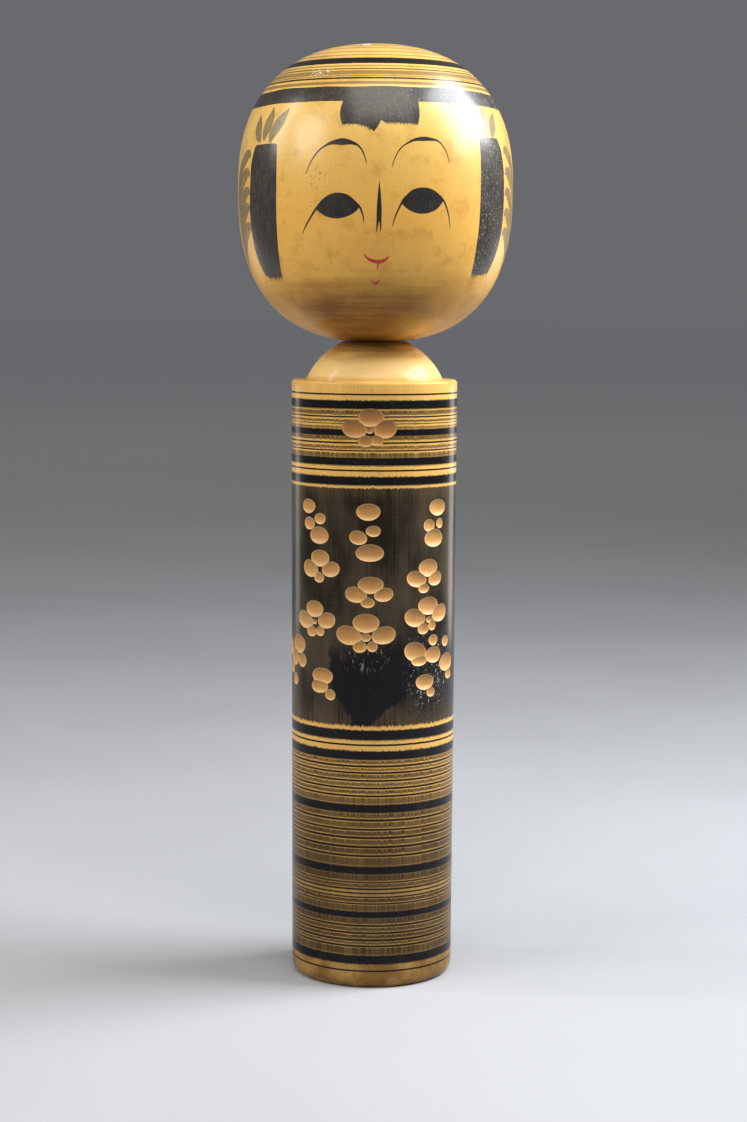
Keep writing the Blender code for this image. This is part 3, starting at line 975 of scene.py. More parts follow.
def build_groups():
    """The effects that several finishes share."""
    # Where a point lies on a turned piece, in millimetres and degrees.
    w, _, out = new_group(
        "Turned Place", [], [("Point", "v"), ("Degrees", "f"), ("Height", "f"), ("Radius", "f")],
    )
    place = w.values(w.node("ShaderNodeTexCoord"))["Object"]
    point = w.stretched(place, (1000, 1000, 1000))
    parts = w.values(w.node("ShaderNodeSeparateXYZ", Vector=point))
    turn = w.math("ARCTAN2", parts["X"], parts["Y"] * -1.0)
    w.feed(out, "Point", point)
    w.feed(out, "Degrees", turn * (180 / math.pi))
    w.feed(out, "Height", parts["Z"])
    w.feed(out, "Radius", w.math("SQRT", parts["Y"] * parts["Y"] + parts["X"] * parts["X"]))

    # Wood with long fibres up the piece, soft growth figure and fine pores.
    w, given, out = new_group(
        "Wood Grain",
        [("Point", "v", None), ("Light", "c", (0.6, 0.4, 0.2)), ("Dark", "c", (0.4, 0.25, 0.1)),
         ("Figure", "f", 0.5), ("Pores", "f", 0.3)],
        [("Color", "c"), ("Height", "f"), ("Fibre", "f")],
    )
    point = given["Point"]
    fibre = w.noise(point, (1.6, 1.6, 0.035), 4.0, 0.6)
    fine = w.noise(point, (4.5, 4.5, 0.12), 2.0, 0.5)
    bend = w.noise(point, (0.03, 0.03, 0.008), 2.0, 0.5)
    parts = w.values(w.node("ShaderNodeSeparateXYZ", Vector=point))
    # The heart of the trunk lies a little to one side of the piece.
    off_x, off_y = parts["X"] + 9.0, parts["Y"] - 14.0
    reach = w.math("SQRT", off_x * off_x + off_y * off_y)
    wave = w.math("SINE", bend * 34.0 + reach * 0.95)
    ring = w.between(wave, -1.0, 1.0)
    share_dark = (ring - 0.5) * (given["Figure"] * 0.6) + w.between(fibre, 0.3, 0.7, smooth=False)
    darkness = w.math("MULTIPLY", share_dark, given["Figure"], clamp=True)
    base = w.blend(darkness, given["Light"], given["Dark"])
    pore = w.between(fine, 0.62, 0.75)
    pored = w.blend(pore * given["Pores"], base, given["Dark"])
    w.feed(out, "Color", pored)
    w.feed(out, "Height", fibre - pore * 0.4)
    w.feed(out, "Fibre", fibre)

    # Paint creeps along the fibres, so the edge of a ring is ragged.
    w, given, out = new_group(
        "Fibre Creep", [("Point", "v", None), ("Height", "f", 0.0), ("Amount", "f", 0.4)],
        [("Height", "f"), ("Comb", "f")],
    )
    point = given["Point"]
    comb = w.noise(point, (1.35, 1.35, 0.020), 1.0, 0.5)
    w.feed(out, "Height", (comb - 0.5) * given["Amount"] + given["Height"])
    w.feed(out, "Comb", w.between(comb, 0.36, 0.64, smooth=False))

    # Ink that is dense where the brush was full and lets specks of the ground through.
    w, given, out = new_group(
        "Brushed Ink",
        [("Point", "v", None), ("Ink", "c", (0.01, 0.01, 0.01)), ("Ground", "c", (0.4, 0.25, 0.1)),
         ("Thinness", "f", 0.1), ("Specks", "f", 0.2)],
        [("Color", "c"), ("Roughness", "f"), ("Height", "f")],
    )
    point = given["Point"]
    sweep = w.noise(point, (1.3, 1.3, 0.10), 3.0, 0.6)
    cloud = w.noise(point, 0.16, 4.0, 0.62)
    thin = w.between(sweep * 0.6 + cloud * 0.4, 0.42, 0.68) * given["Thinness"]
    inked = w.blend(thin, given["Ink"], given["Ground"])
    speck = w.between(w.noise(point, 1.5, 3.0, 0.6), 0.60, 0.72) * given["Specks"]
    w.feed(out, "Color", w.blend(speck, inked, (0.42, 0.42, 0.40)))
    w.feed(out, "Roughness", cloud * 0.3 + (speck * 0.5 + 0.25))
    w.feed(out, "Height", w.noise(point, 1.1, 3.0, 0.6))

    # Handling wear: dust in the lacquer, fine scratches and small stains.
    w, given, out = new_group(
        "Handling Wear",
        [("Point", "v", None), ("Dust", "f", 0.3), ("Scratches", "f", 0.3), ("Stains", "f", 0.3)],
        [("Dust", "f"), ("Scratches", "f"), ("Stains", "f"), ("Height", "f")],
    )
    point = given["Point"]
    dust = w.between(w.spots(point, 0.55), 0.10, 0.04)
    picked = w.between(w.noise(point, 0.22, 2.0, 0.5), 0.52, 0.62)
    w.feed(out, "Dust", dust * picked * given["Dust"])
    tilted = w.node("ShaderNodeVectorRotate", {"rotation_type": "EULER_XYZ"},
                    Rotation=(0.35, 0.25, 0.0), Vector=point)
    lines = w.noise(w.values(tilted)["Vector"], (2.6, 2.6, 0.07), 1.0, 0.4)
    patch = w.between(w.noise(point, 0.06, 2.0, 0.5), 0.50, 0.66)
    scratch = w.between(lines, 0.66, 0.74) * patch * given["Scratches"]
    w.feed(out, "Scratches", scratch)
    blotch = w.between(w.noise(point, 0.11, 5.0, 0.66), 0.56, 0.74)
    w.feed(out, "Stains", blotch * given["Stains"])
    w.feed(out, "Height", w.noise(point, 0.05, 3.0, 0.55))


def ring_paint(w, height, rings, span, tones):
    """Colour and cover of painted rings at a height, from stepped ramps that span short zones."""
    stops = [(span[0], "bare")]
    for upper, lower, tone in reversed([ring for ring in rings if ring[2] in tones]):
        if abs(stops[-1][0] - lower) < 1e-6:
            stops[-1] = (lower, tone)
        else:
            stops.append((lower, tone))
        stops.append((upper, "bare"))
    zones, zone = [], []
    for stop in stops:
        if zone and (len(zone) >= RAMP_STOPS - 1 or stop[0] - zone[0][0] > RAMP_REACH):
            zones.append(zone)
            zone = []
        zone.append(stop)
    zones.append(zone)
    result = None
    for number, zone in enumerate(zones):
        start = zone[0][0]
        end = zones[number + 1][0][0] if number + 1 < len(zones) else span[1]
        place = w.between(height, start, end, smooth=False)
        ramp = w.node("ShaderNodeValToRGB", Fac=place)
        ramp.color_ramp.interpolation = "CONSTANT"
        elements = ramp.color_ramp.elements
        elements.remove(elements[1])
        elements[0].position = 0.0
        elements[0].color = TONES[zone[0][1]]
        for at, tone in zone[1:]:
            elements.new((at - start) / (end - start)).color = TONES[tone]
        shown = w.values(ramp)
        if result is None:
            result = (shown["Color"], shown["Alpha"])
            continue
        over = w.math("GREATER_THAN", height, start)
        cover = over * (shown["Alpha"] - result[1]) + result[1]
        result = (w.blend(over, result[0], shown["Color"]), cover)
    return result


def new_material(name, values):
    """A material with plain settings on its shader, and its wiring."""
    material = bpy.data.materials.new(name)
    material.use_nodes = True
    w = Wiring(material.node_tree)
    shader = material.node_tree.nodes["Principled BSDF"]
    for key, value in values.items():
        w.feed(shader, key, value)
    return material, w, shader


def bump(w, shader, height, strength, distance):
    """Gives the shader a relief."""
    made = w.node("ShaderNodeBump", Strength=strength, Distance=distance, Height=height)
    w.feed(shader, "Normal", w.values(made)["Normal"])


def scaled(values, factor):
    """A lighter or darker colour of the same hue."""
    return tuple(min(1.0, v * factor) for v in values)


def column_rings(w, ground, height, crept, nearly, comb, fibre):
    """Painted rings over the ground's colour, and how much of it they cover."""
    is_upper = w.math("GREATER_THAN", height, SPLIT_HEIGHT)
    both = (SHOULDER_RINGS, SKIRT_RINGS)
    # Black bled a little way along the fibres before it dried, and left each ring a brown fringe.
    fringes = [
        [(high + 0.35, low - 0.5, "tan") for high, low, tone in table if tone == "black"]
        for table in both
    ]
    rings, worn = ground, 0.0
    for place_up, tables, tones, ragged in (
        (crept, fringes, ("tan",), True),
        (crept, both, ("brown", "tan"), True),
        (nearly, both, ("black", "dark", "thin"), False),
    ):
        upper = ring_paint(w, place_up, tables[0], SHOULDER_SPAN, tones)
        lower = ring_paint(w, place_up, tables[1], SKIRT_SPAN, tones)
        colour_here = w.blend(is_upper, lower[0], upper[0])
        cover = is_upper * (upper[1] - lower[1]) + lower[1]
        if ragged:
            # Watered tones show the comb of the fibres.
            cover = cover * w.between(comb, 0.15, 0.95, 1.0, 0.74, smooth=False)
        else:
            cover = cover * w.between(fibre, 0.2, 0.34, 0.78, 1.0)
        rings = w.blend(cover, rings, colour_here)
        worn = w.math("MAXIMUM", worn, cover)
    return rings, worn


def field_stain_and_reflection(w, settings, place, lathe, broad):
    """Colour of the wide stained field: browner ends, streaks and a painted dark reflection."""
    point, height, degrees = place["Point"], place["Height"], place["Degrees"]
    streak = w.noise(point, (1.9, 1.9, 0.020), 4.0, 0.7)
    tone = w.between(lathe * 0.25 + (broad * 1.5 + streak * 0.55), 0.92, 1.42)
    stained = w.blend(tone, scaled(settings.stain, 0.30), scaled(settings.stain, 1.35))
    ends = w.math("MAXIMUM", w.between(height, 236.5, 244.0), w.between(height, 142.0, 130.0))
    stained = w.blend(ends * w.between(streak, 0.35, 0.65), stained, (0.08, 0.05, 0.024))
    # Painted reflection of a dark thing in front: black below the lowest blossoms, a patch beside.
    centre = w.between(height, 131.0, 165.0, -7.0, 5.0, smooth=False)
    half = w.between(height, 129.0, 149.0, 7.0, 29.0) + w.between(height, 149.0, 166.0, 0.0, 8.0)
    ragged = (w.noise(point, 0.12, 3.0, 0.6) - 0.5) * 13.0
    edge = abs(degrees - centre) + ragged - half
    dark_reflection = w.between(edge, 1.6, -1.6) * w.between(height, 176.0, 160.0)
    side_reflection = w.near(degrees + ragged, 52.0, 30.0, 14.0) * w.near(height, 152.0, 26.0, 10.0)
    dark_reflection = w.math("MAXIMUM", dark_reflection, side_reflection * 0.8)
    return w.blend(dark_reflection * 0.95, stained, (0.0048, 0.0046, 0.006))


def column_ageing_and_painted_light(w, place, painted, broad):
    """Painted shade on the skirt, a stained foot, painted light on the dome and shade under the
    head, over the paint.
    """
    point, height = place["Point"], place["Height"]
    # Painted shade: the skirt darkens towards the floor.
    painted_shade_low = w.between(height, 127.0, 55.0) * w.between(broad, 0.3, 0.7, 0.75, 1.0)
    painted = w.blend(painted_shade_low, painted, (0.42, 0.42, 0.43), "MULTIPLY")
    foot = w.between(height, 17.0, 13.0) * w.between(w.noise(point, 0.09, 4.0, 0.6), 0.36, 0.6)
    painted = w.blend(foot, painted, (0.62, 0.52, 0.44), "MULTIPLY")
    # Painted light: the dome is paler, standing in for light that the head keeps off it.
    dome = w.between(height, 294.8, 297.0) * w.between(height, 309.0, 301.0)
    painted = w.blend(dome * 0.65, painted, (0.9, 0.64, 0.29))
    # Painted shade under the head: the top of the dome darkens towards it, in smears along the
    # lathe.
    smear = w.noise(point, (0.045, 0.045, 0.42), 4.0, 0.6)
    painted_shade_under_head = w.between(height, 300.5, 312.0) * w.between(smear, 0.36, 0.62, 0.15, 0.9)
    return w.blend(painted_shade_under_head, painted, (0.30, 0.150, 0.040))


def column_scuffs(w, place):
    """Pale scuffs round the lowest petals."""
    point, height, degrees = place["Point"], place["Height"], place["Degrees"]
    right_side = w.near(degrees, 44.0, 26.0, 8.0) * w.near(height, 154.0, 26.0, 6.0)
    middle = w.near(degrees, -6.0, 22.0, 6.0) * w.near(height, 162.0, 9.0, 3.0)
    chip = w.between(w.noise(point, (0.9, 0.9, 0.55), 4.0, 0.68), 0.575, 0.64)
    nick = w.between(w.noise(point, (1.6, 1.6, 0.22), 2.0, 0.6), 0.62, 0.69)
    return w.math("MAXIMUM", chip * right_side, nick * middle) * 0.75


def column_finish(settings):
    """Lacquered wood with painted rings, the wide stained field, wear on both and painted light
    and shade.
    """
    material, w, shader = new_material("painted_column", {
        "Coat Roughness": 0.10, "Coat IOR": 1.5, "Specular IOR Level": 0.07, "Coat Weight": 0.20,
    })
    place = w.group("Turned Place")
    point, height = place["Point"], place["Height"]
    wood = w.group("Wood Grain", Point=point, Light=settings.wood,
                   Dark=scaled(settings.wood, 0.62), Figure=0.45, Pores=0.25)
    creep = w.group("Fibre Creep", Point=point, Height=height, Amount=1.7)
    crept, comb = creep["Height"], creep["Comb"]
    nearly = w.group("Fibre Creep", Point=point, Height=height, Amount=0.30)["Height"]
    torn = w.group("Fibre Creep", Point=point, Height=height, Amount=2.5)["Height"]
    # The lathe left a veil of thin brown lines between the rings.
    lathe = w.noise(point, (0.012, 0.012, 2.2), 3.0, 0.6)
    veil_low = w.between(height, 17.0, 21.0) * w.between(height, 113.0, 109.0)
    veil_high = w.between(height, 259.0, 262.0) * w.between(height, 282.0, 280.0)
    veil = w.math("MAXIMUM", veil_low * 0.3, veil_high * 0.3)
    veil = w.between(lathe, 0.38, 0.53) * veil * w.between(comb, 0.0, 1.0, 0.25, 0.92)
    ground = w.blend(veil, wood["Color"], (0.120, 0.066, 0.022))
    rings, worn = column_rings(w, ground, height, crept, nearly, comb, wood["Fibre"])
    broad = w.noise(point, (0.055, 0.055, 0.022), 3.0, 0.55)
    field = w.between(torn, 128.6, 130.0) * w.between(crept, 244.3, 243.5)
    painted = w.blend(field, rings, field_stain_and_reflection(w, settings, place, lathe, broad))
    painted = column_ageing_and_painted_light(w, place, painted, broad)
    scuffs = column_scuffs(w, place)
    wear = w.group("Handling Wear", Point=point, Dust=0.55, Scratches=0.5, Stains=0.35)
    pale = wear["Dust"] * 0.5 + wear["Scratches"] * 0.25
    dusted = w.blend(w.math("MAXIMUM", pale, scuffs), painted, (0.42, 0.4, 0.36))
    aged_and_shaded = w.blend(wear["Stains"] * 0.6, dusted, (0.06, 0.038, 0.016))
    # End grain shows on the flat base.
    end_rings = w.noise(point, (0.35, 0.35, 0.0), 4.0, 0.6)
    growth = w.math("SINE", end_rings * 5.0 + place["Radius"] * 2.6)
    pale_grain, dark_grain = scaled(settings.wood, 0.85), scaled(settings.wood, 0.5)
    end_wood = w.blend(w.between(growth, -0.4, 1.0), pale_grain, dark_grain)
    on_base = w.between(height, 0.45, 0.15)
    w.feed(shader, "Base Color", w.blend(on_base, aged_and_shaded, end_wood))
    black = w.math("MAXIMUM", worn, field)
    rough = wear["Stains"] * 0.18 + (black * -0.04 + 0.34) + scuffs * 0.35
    w.feed(shader, "Roughness", w.math("MULTIPLY_ADD", on_base, 0.3, rough, clamp=True))
    relief = lathe * 0.35 + (wear["Height"] * 5.0 + (worn * 0.5 + wood["Height"] * 0.5))
    bump(w, shader, relief - scuffs, 0.35, 0.08 * MM)
    return material


def carved_finish(settings):
    """Raw wood inside the petals: open grain and gouge marks, hardly any shine."""
    material, w, shader = new_material("carved_petal_wood", {
        "Specular IOR Level": 0.3, "Coat Weight": 0.08, "Coat Roughness": 0.3,
    })
    place = w.group("Turned Place")
    point = place["Point"]
    wood = w.group("Wood Grain", Point=point, Light=settings.carved,
                   Dark=scaled(settings.carved, 0.55), Figure=0.6, Pores=0.5)
    cloud = w.noise(point, 0.2, 3.0, 0.6)
    clouded = w.between(cloud, 0.35, 0.7, 0.0, 0.45)
    deep = w.blend(clouded, wood["Color"], scaled(settings.carved, 0.66))
    # Painted shade: the scoop's floor is darker and warmer the deeper it lies.
    radius = place["Radius"]
    deep = w.blend(w.between(radius, 39.0, 40.0, 0.35, 0.0), deep, (0.42, 0.215, 0.070))
    # Painted shade under the upper lip, where the scoop faces down, and a painted highlight on the
    # lower lip.
    around = w.values(w.node("ShaderNodeTexCoord"))["Normal"]
    facing = w.values(w.node("ShaderNodeSeparateXYZ", Vector=around))["Z"]
    tilt = (cloud - 0.5) * 0.25 + facing
    deep = w.blend(w.between(tilt, 0.02, -0.42, 0.0, 0.46), deep, scaled(settings.carved, 0.40))
    petal_lit_and_shaded = w.blend(w.between(tilt, 0.12, 0.45, 0.0, 0.30), deep, (0.80, 0.56, 0.27))
    # A thin pale line is left where the gouge broke the skin.
    skin = place["Height"] * (0.8 / 294.5) + 39.7
    edge = w.between(skin - radius, 0.42, 0.16)
    petal_lit_and_shaded = w.blend(edge * 0.26, petal_lit_and_shaded, (0.78, 0.56, 0.28))
    # The blossom between the shoulder rings has been handled most, and is browner.
    handled = w.between(place["Height"], 250.0, 262.0, 0.0, 0.8)
    petal_lit_and_shaded = w.blend(handled, petal_lit_and_shaded, (0.72, 0.62, 0.50), "MULTIPLY")
    w.feed(shader, "Base Color", petal_lit_and_shaded)
    w.feed(shader, "Roughness", w.between(wood["Fibre"], 0.2, 0.8, 0.42, 0.6, smooth=False))
    gouge = w.noise(point, (0.35, 0.35, 1.6), 2.0, 0.5)
    bump(w, shader, gouge * 0.6 + wood["Height"], 0.6, 0.12 * MM)
    return material


def head_wood(w, settings):
    """Amber wood of the head with painted shade low down, and the shared places and wear that its
    marks use as well.
    """
    place = w.group("Turned Place")
    point = place["Point"]
    wood = w.group("Wood Grain", Point=point, Light=settings.amber,
                   Dark=scaled(settings.amber, 0.72), Figure=0.35, Pores=0.2)
    up = place["Height"] - HEAD_BASE / MM
    band = w.noise(point, (0.02, 0.02, 0.42), 4.0, 0.62)
    cloud = w.noise(point, 0.035, 4.0, 0.6)
    # Painted shade: the wood darkens towards the chin, most at the front, in bands along the
    # lathe.
    low = w.between(up, 37.0, 14.0) + (band - 0.5) * 0.9
    round_front = w.between(abs(place["Degrees"] + 7.0), 50.0, 18.0, 0.25, 1.0)
    low = low * round_front + (cloud - 0.5) * 1.1
    low = w.math("MULTIPLY", low, w.between(up, 52.0, 24.0), clamp=True)
    # Painted shade: below the eyes the wood turns warmer and a little darker.
    warmth = w.between(up, 100.0, 52.0) * w.between(cloud, 0.3, 0.7, 0.65, 1.0)
    warmed = w.blend(warmth * 0.85, wood["Color"], settings.amber_warm)
    aged_and_shaded = w.blend(low, warmed, settings.amber_dark)
    mottle = w.between(w.noise(point, 0.10, 5.0, 0.65), 0.48, 0.72, 0.0, 0.32)
    aged_and_shaded = w.blend(mottle, aged_and_shaded, scaled(settings.amber_dark, 1.2))
    wear = w.group("Handling Wear", Point=point, Dust=0.35, Scratches=0.3, Stains=0.45)
    scattered = w.between(w.noise(point, 0.045, 2.0, 0.5), 0.54, 0.66)
    speck = w.between(w.spots(point, 0.30), 0.11, 0.05) * scattered
    # A few freckles of spilt stain beside one eye.
    degrees = place["Degrees"]
    beside = w.near(degrees, -24.5, 6.5, 3.0) * w.near(up, 70.5, 11.0, 6.0)
    freckle = w.between(w.noise(point, 0.8, 3.0, 0.65), 0.60, 0.66)
    speck = w.math("MAXIMUM", speck, freckle * beside)
    spotted = w.blend(speck * 0.7, aged_and_shaded, (0.07, 0.042, 0.014))
    stained = w.blend(wear["Stains"] * 0.42, spotted, (0.22, 0.125, 0.03))
    return place, wood, up, wear, stained


def head_finish(settings):
    """Amber lacquered wood with turned rings on the crown."""
    material, w, shader = new_material("amber_head", {
        "Coat Roughness": 0.27, "Coat IOR": 1.5, "Specular IOR Level": 0.14,
    })
    place, wood, up, wear, stained = head_wood(w, settings)
    point = place["Point"]
    crept = w.group("Fibre Creep", Point=point, Height=up, Amount=0.3)["Height"]
    ring_colour, cover = ring_paint(w, crept, CROWN_RINGS, CROWN_SPAN, TONES)
    lathe = w.noise(point, (0.010, 0.010, 2.4), 3.0, 0.6)
    veil = w.between(lathe, 0.44, 0.58) * w.between(up, 118.0, 119.0) * 0.34
    veiled = w.blend(veil, stained, (0.27, 0.15, 0.048))
    worn = cover * w.between(wood["Fibre"], 0.2, 0.42, 0.7, 1.0)
    painted = w.blend(worn, veiled, ring_colour)
    # Two pale flecks on the crown.
    degrees = place["Degrees"]
    left = w.near(degrees, -31.0, 7.0, 4.5) * w.near(up, 124.6, 2.6, 1.8)
    fleck = left * w.between(w.noise(point, 0.75, 3.0, 0.6), 0.56, 0.6)
    top = w.near(degrees, -12.0, 6.0, 4.0) * w.near(up, 139.9, 0.8, 0.5)
    fleck = w.math("MAXIMUM", fleck, top * w.between(w.noise(point, 0.5, 2.0, 0.5), 0.4, 0.45))
    pale = w.math("MAXIMUM", wear["Dust"] * 0.35, fleck)
    w.feed(shader, "Base Color", w.blend(pale, painted, (0.72, 0.70, 0.64)))
    w.feed(shader, "Roughness", wear["Stains"] * 0.25 + 0.33 + wear["Scratches"] * 0.3)
    relief = lathe * 0.2 + (wear["Height"] * 6.0 + wood["Height"] * 0.4)
    # The lacquer has worn thin under the chin.
    w.feed(shader, "Coat Weight", w.between(up, 24.0, 76.0, 0.10, 0.70))
    bump(w, shader, relief, 0.25, 0.10 * MM)
    return material


def ink_finish(name, head, ink, thinness, specks, coat, cover=1.0):
    """Brush ink over the head's wood: dense for hair, thin for leaves."""
    material, w, shader = new_material(name, {
        "Coat Roughness": 0.20, "Coat IOR": 1.5, "Specular IOR Level": 0.35, "Coat Weight": coat,
    })
    place, wood, _, wear, stained = head_wood(w, head)
    # Pale dust specks, made denser on the side towards the window as a painted highlight.
    dust_and_lit_side = w.between(place["Degrees"], 5.0, 62.0, 0.5 * specks, 2.6 * specks)
    brushed = w.group("Brushed Ink", Point=place["Point"], Ink=ink,
                      Ground=scaled(head.amber, 0.55), Thinness=thinness, Specks=dust_and_lit_side)
    inked = brushed["Color"]
    if cover < 1.0:
        streak = w.between(wood["Fibre"], 0.3, 0.7, cover - 0.12, cover + 0.08, smooth=False)
        inked = w.blend(streak, stained, inked)
    dusty = (wear["Dust"] + wear["Scratches"] * 0.5) * 0.4
    w.feed(shader, "Base Color", w.blend(dusty, inked, (0.45, 0.42, 0.36)))
    w.feed(shader, "Roughness", brushed["Roughness"])
    bump(w, shader, wood["Height"] * 0.4 + brushed["Height"], 0.45, 0.06 * MM)
    return material


def peg_finish(settings):
    """Plain turned wood, polished where it rubs."""
    material, w, shader = new_material("peg_wood", {"Specular IOR Level": 0.35})
    place = w.group("Turned Place")
    wood = w.group("Wood Grain", Point=place["Point"], Light=settings.wood,
                   Dark=scaled(settings.wood, 0.55), Figure=0.7, Pores=0.5)
    rub = w.noise(place["Point"], (0.05, 0.05, 1.6), 3.0, 0.6)
    polish = w.between(rub, 0.5, 0.75, 0.0, 0.4)
    w.feed(shader, "Base Color", w.blend(polish, wood["Color"], (0.2, 0.12, 0.05)))
    w.feed(shader, "Roughness", w.between(rub, 0.3, 0.7, 0.38, 0.6))
    bump(w, shader, wood["Height"] + rub, 0.5, 0.08 * MM)
    return material


def floor_finish(tint):
    """Plain matt floor that grows paler towards the horizon."""
    material, w, shader = new_material("pale_floor", {"Specular IOR Level": 0.25})
    place = w.values(w.node("ShaderNodeTexCoord"))["Object"]
    cloud = w.noise(place, 3.0, 3.0, 0.5)
    near = w.blend(w.between(cloud, 0.3, 0.7), scaled(tint, 0.97), scaled(tint, 1.03))
    reach = w.node("ShaderNodeVectorMath", {"operation": "LENGTH"})
    w.feed(reach, 0, place)
    far = w.between(w.values(reach)["Value"], 0.8, 5.0)
    w.feed(shader, "Base Color", w.blend(far, near, (0.97, 0.97, 0.97)))
    w.feed(shader, "Roughness", w.between(cloud, 0.3, 0.7, 0.55, 0.62))
    return material


# ---------------------------------------------------------------- operators

def need_groups():
    """Builds the shared effects once."""
    if "Turned Place" not in bpy.data.node_groups:
        build_groups()


class KOKESHI_OT_body(bpy.types.Operator):
    """Turn the column, carve its blossoms and paint its rings"""

    bl_idname = "kokeshi.body"
    bl_label = "Painted body"

    def execute(self, context):
        need_groups()
        settings = context.scene.kokeshi_body
        profile, weights = body_profile(settings)
        piece = turned_mesh("painted_body", profile, settings.segments)
        carve_blossoms(piece, settings, column_finish(settings), carved_finish(settings))
        lay_out(piece, profile, weights)
        finish_mesh(piece, PETAL_SHARP)
        add_piece(piece, "body", "painted_body_wood", "body")
        return {"FINISHED"}


class KOKESHI_OT_head(bpy.types.Operator):
    """Turn the head with its peg hole and crown rings"""

    bl_idname = "kokeshi.head"
    bl_label = "Amber head"

    def execute(self, context):
        need_groups()
        settings = context.scene.kokeshi_head
        profile, weights = head_profile(settings)
        piece = turned_mesh("amber_head", profile, settings.segments)
        piece.data.materials.append(head_finish(settings))
        lay_out(piece, profile, weights)
        finish_mesh(piece, HEAD_SHARP)
        add_piece(piece, "head", "amber_head_wood", "head")
        return {"FINISHED"}


class KOKESHI_OT_hair(bpy.types.Operator):
    """Brush the hair band, forelock and side locks in dense ink"""

    bl_idname = "kokeshi.hair"
    bl_label = "Brushed hair"

    def execute(self, context):
        need_groups()
        head, paint = context.scene.kokeshi_head, context.scene.kokeshi_paint
        dice = random.Random(paint.seed)
        ink = ink_finish("hair_ink", head, paint.ink, 0.12, 0.75, 0.45)
        left, right = [lock_outline(*edges, dice, 3.0) for edges in LOCKS]
        pieces = [
            hair_band("hair_band", head, paint, dice),
            paint_film("forelock", [forelock_outline(dice)], head, paint),
            paint_film("side_lock_left", [left], head, paint),
            paint_film("side_lock_right", [right], head, paint),
        ]
        for piece in pieces:
            add_mark(piece, ink)
        return {"FINISHED"}


class KOKESHI_OT_side_hair(bpy.types.Operator):
    """Brush the leaves over the locks and the swept strokes behind them in thin ink"""

    bl_idname = "kokeshi.side_hair"
    bl_label = "Thin ink strokes"

    def execute(self, context):
        need_groups()
        head, paint = context.scene.kokeshi_head, context.scene.kokeshi_paint
        dice = random.Random(paint.seed + 1)
        thin = ink_finish("thin_ink", head, paint.thin_ink, 0.35, 0.3, 0.35, cover=0.84)
        swept_left = side_strokes(-1, 73.6, 88.0, 8.6, 5, dice)
        swept_right = side_strokes(1, 78.4, 90.5, 9.6, 5, dice)
        marks = {
            "leaf_strokes_left": LEAVES[:3], "leaf_strokes_right": LEAVES[3:],
            "swept_strokes_left": swept_left, "swept_strokes_right": swept_right,
        }
        for name, lines in marks.items():
            outlines = [stroke(line, 0.8, 1.15) for line in lines]
            add_mark(paint_film(name, outlines, head, paint), thin)
        return {"FINISHED"}


class KOKESHI_OT_face(bpy.types.Operator):
    """Brush the brows, eyes, nose and lips"""

    bl_idname = "kokeshi.face"
    bl_label = "Painted face"

    def execute(self, context):
        need_groups()
        head, paint = context.scene.kokeshi_head, context.scene.kokeshi_paint
        ink = ink_finish("face_ink", head, paint.ink, 0.03, 0.22, 0.4)
        red = ink_finish("lip_red", head, paint.red, 0.22, 0.15, 0.3)
        marks = [
            ("brows", [stroke(line, 0.5) for line in BROWS], ink),
            ("eyes", [blot(line) for line in EYES], ink),
            ("eyelids", [stroke(line, 0.5) for line in LIDS], ink),
            ("nose", [stroke(line, 0.5) for line in NOSE], ink),
            ("lips", [stroke(line, 0.5) for line in LIPS], red),
        ]
        for name, outlines, finish in marks:
            add_mark(paint_film(name, outlines, head, paint), finish)
        return {"FINISHED"}


class KOKESHI_OT_peg(bpy.types.Operator):
    """Give the neck peg its plain turned wood"""

    bl_idname = "kokeshi.peg"
    bl_label = "Neck peg"

    def execute(self, context):
        need_groups()
        peg = frame["nodes"]["neck_peg"]
        finish = peg_finish(context.scene.kokeshi_peg)
        if not peg.material_slots:
            peg.data.materials.append(finish)
        for slot in peg.material_slots:
            slot.material = finish
        return {"FINISHED"}


def softbox(name, place, target, size, power, tint=(1.0, 1.0, 1.0), spread=180.0):
    """A soft rectangular light that no camera sees; a low spread keeps it off the floor."""
    data = bpy.data.lights.new(name, "AREA")
    data.shape = "RECTANGLE"
    data.size, data.size_y = size
    data.energy = power
    data.color = tint
    data.spread = math.radians(spread)
    lamp = bpy.data.objects.new(name, data)
    lamp.location = place
    lamp.rotation_euler = (Vector(target) - Vector(place)).to_track_quat("-Z", "Y").to_euler()
    lamp.visible_camera = False
    bpy.context.scene.collection.objects.link(lamp)


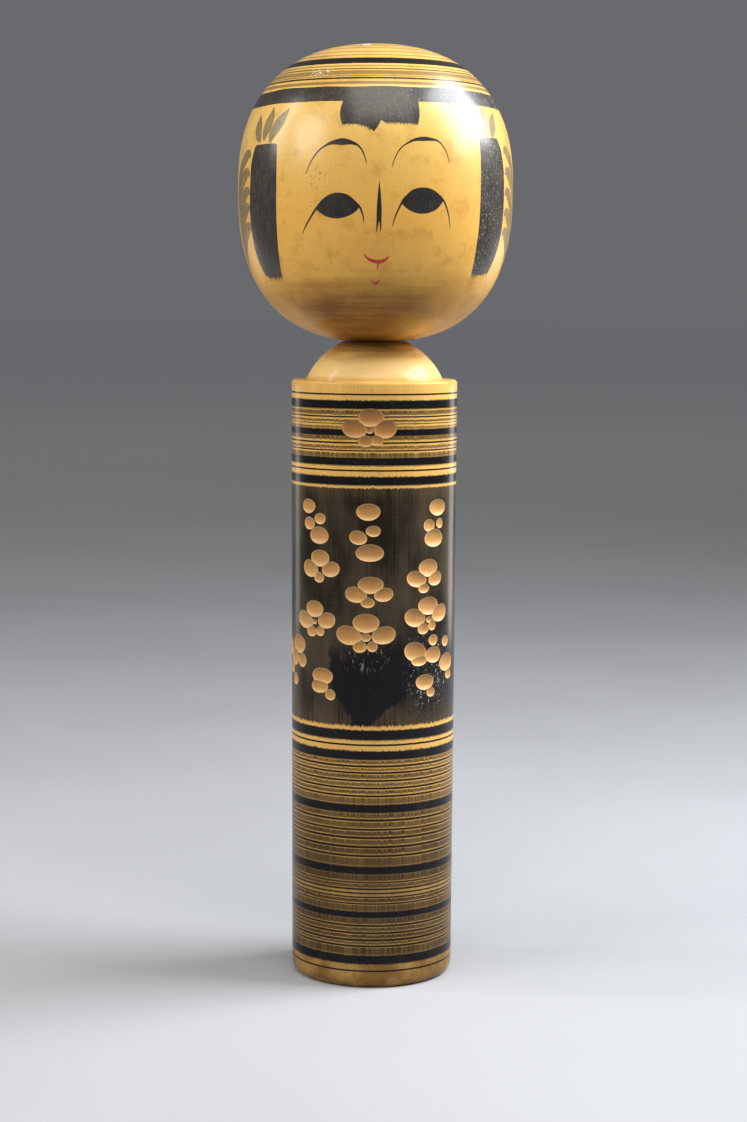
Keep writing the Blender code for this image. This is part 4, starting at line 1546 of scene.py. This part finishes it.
class KOKESHI_OT_stage(bpy.types.Operator):
    """Lay the floor, hang the softboxes and set the camera"""

    bl_idname = "kokeshi.stage"
    bl_label = "Stage"

    def execute(self, context):
        settings = context.scene.kokeshi_stage
        sheet, sides = bmesh.new(), 96
        before = [sheet.verts.new((0.0, 0.0, 0.0))] * sides
        for reach in (0.5, 1.5, 5.0, 15.0, 40.0):
            ring = []
            for i in range(sides):
                angle = math.tau * i / sides
                across, back = reach * math.cos(angle), reach * math.sin(angle)
                ring.append(sheet.verts.new((across, back, 0.0)))
            for i in range(sides):
                j = (i + 1) % sides
                corners = (before[i], ring[i], ring[j], before[j])
                sheet.faces.new(tuple(dict.fromkeys(corners)))
            before = ring
        floor = linked("floor", sheet)
        floor.data.materials.append(floor_finish(settings.floor_colour))

        world = bpy.data.worlds.new("studio")
        world.use_nodes = True
        backing = world.node_tree.nodes["Background"].inputs
        backing["Color"].default_value = (0.50, 0.51, 0.54, 1.0)
        backing["Strength"].default_value = 0.28
        context.scene.world = world

        face, column = (0.0, 0.0, 0.38), (0.0, 0.0, 0.15)
        warm, cool = (1.0, 0.965, 0.91), (0.95, 0.97, 1.0)
        softbox("window", (0.81, 0.045, 0.98), face, (0.76, 0.76), 29.0, cool)
        softbox("top_fill", (0.12, -0.90, 1.90), (0, 0, 0.40), (1.4, 1.2), 25.0, warm)
        softbox("left_fill", (-1.16, -0.68, 1.00), face, (0.64, 0.64), 10.5, warm)
        softbox("left_glow", (-1.30, 0.04, 1.06), face, (0.20, 0.80), 6.0, warm)
        softbox("right_sheen", (0.70, 0.76, 0.15), column, (0.30, 0.26), 0.105, warm, 60.0)
        softbox("left_sheen", (-0.76, 0.70, 0.15), column, (0.26, 0.26), 0.060, warm, 60.0)

        data = bpy.data.cameras.new("camera")
        data.sensor_width = 36.0
        data.lens = settings.lens
        data.clip_start, data.clip_end = 0.01, 100.0
        camera = bpy.data.objects.new("camera", data)
        camera.location = (0.0, -settings.camera_distance, settings.camera_height)
        aim = Matrix.Rotation(math.pi / 2 - settings.camera_pitch, 4, "X")
        roll = Matrix.Rotation(settings.camera_roll, 4, "Z")
        camera.rotation_euler = (aim @ roll).to_euler()
        context.scene.collection.objects.link(camera)
        context.scene.camera = camera
        context.scene.view_settings.view_transform = "Standard"
        return {"FINISHED"}


OPERATORS = (
    KOKESHI_OT_stage, KOKESHI_OT_body, KOKESHI_OT_head, KOKESHI_OT_hair, KOKESHI_OT_side_hair,
    KOKESHI_OT_face, KOKESHI_OT_peg,
)
GROUPS = (
    ("kokeshi_body", KokeshiBodySettings), ("kokeshi_head", KokeshiHeadSettings),
    ("kokeshi_paint", KokeshiPaintSettings), ("kokeshi_peg", KokeshiPegSettings),
    ("kokeshi_stage", KokeshiStageSettings),
)


class KOKESHI_PT_panel(bpy.types.Panel):
    """The doll's settings and pieces"""

    bl_idname = "KOKESHI_PT_panel"
    bl_label = "Kokeshi doll"
    bl_space_type = "VIEW_3D"
    bl_region_type = "UI"
    bl_category = "Kokeshi"

    def draw(self, context):
        for attribute, kind in GROUPS:
            box = self.layout.box()
            for name in kind.__annotations__:
                box.prop(getattr(context.scene, attribute), name)
        for operator in OPERATORS:
            self.layout.operator(operator.bl_idname)


def register():
    for attribute, kind in GROUPS:
        bpy.utils.register_class(kind)
        setattr(bpy.types.Scene, attribute, PointerProperty(type=kind))
    for kind in (*OPERATORS, KOKESHI_PT_panel):
        bpy.utils.register_class(kind)


def unregister():
    for kind in (KOKESHI_PT_panel, *reversed(OPERATORS)):
        bpy.utils.unregister_class(kind)
    for attribute, kind in reversed(GROUPS):
        delattr(bpy.types.Scene, attribute)
        bpy.utils.unregister_class(kind)


def main():
    register()
    bpy.ops.kokeshi.stage()
    bpy.ops.kokeshi.body()
    bpy.ops.kokeshi.head()
    bpy.ops.kokeshi.hair()
    bpy.ops.kokeshi.side_hair()
    bpy.ops.kokeshi.face()
    bpy.ops.kokeshi.peg()


if __name__ == "__main__":
    main()
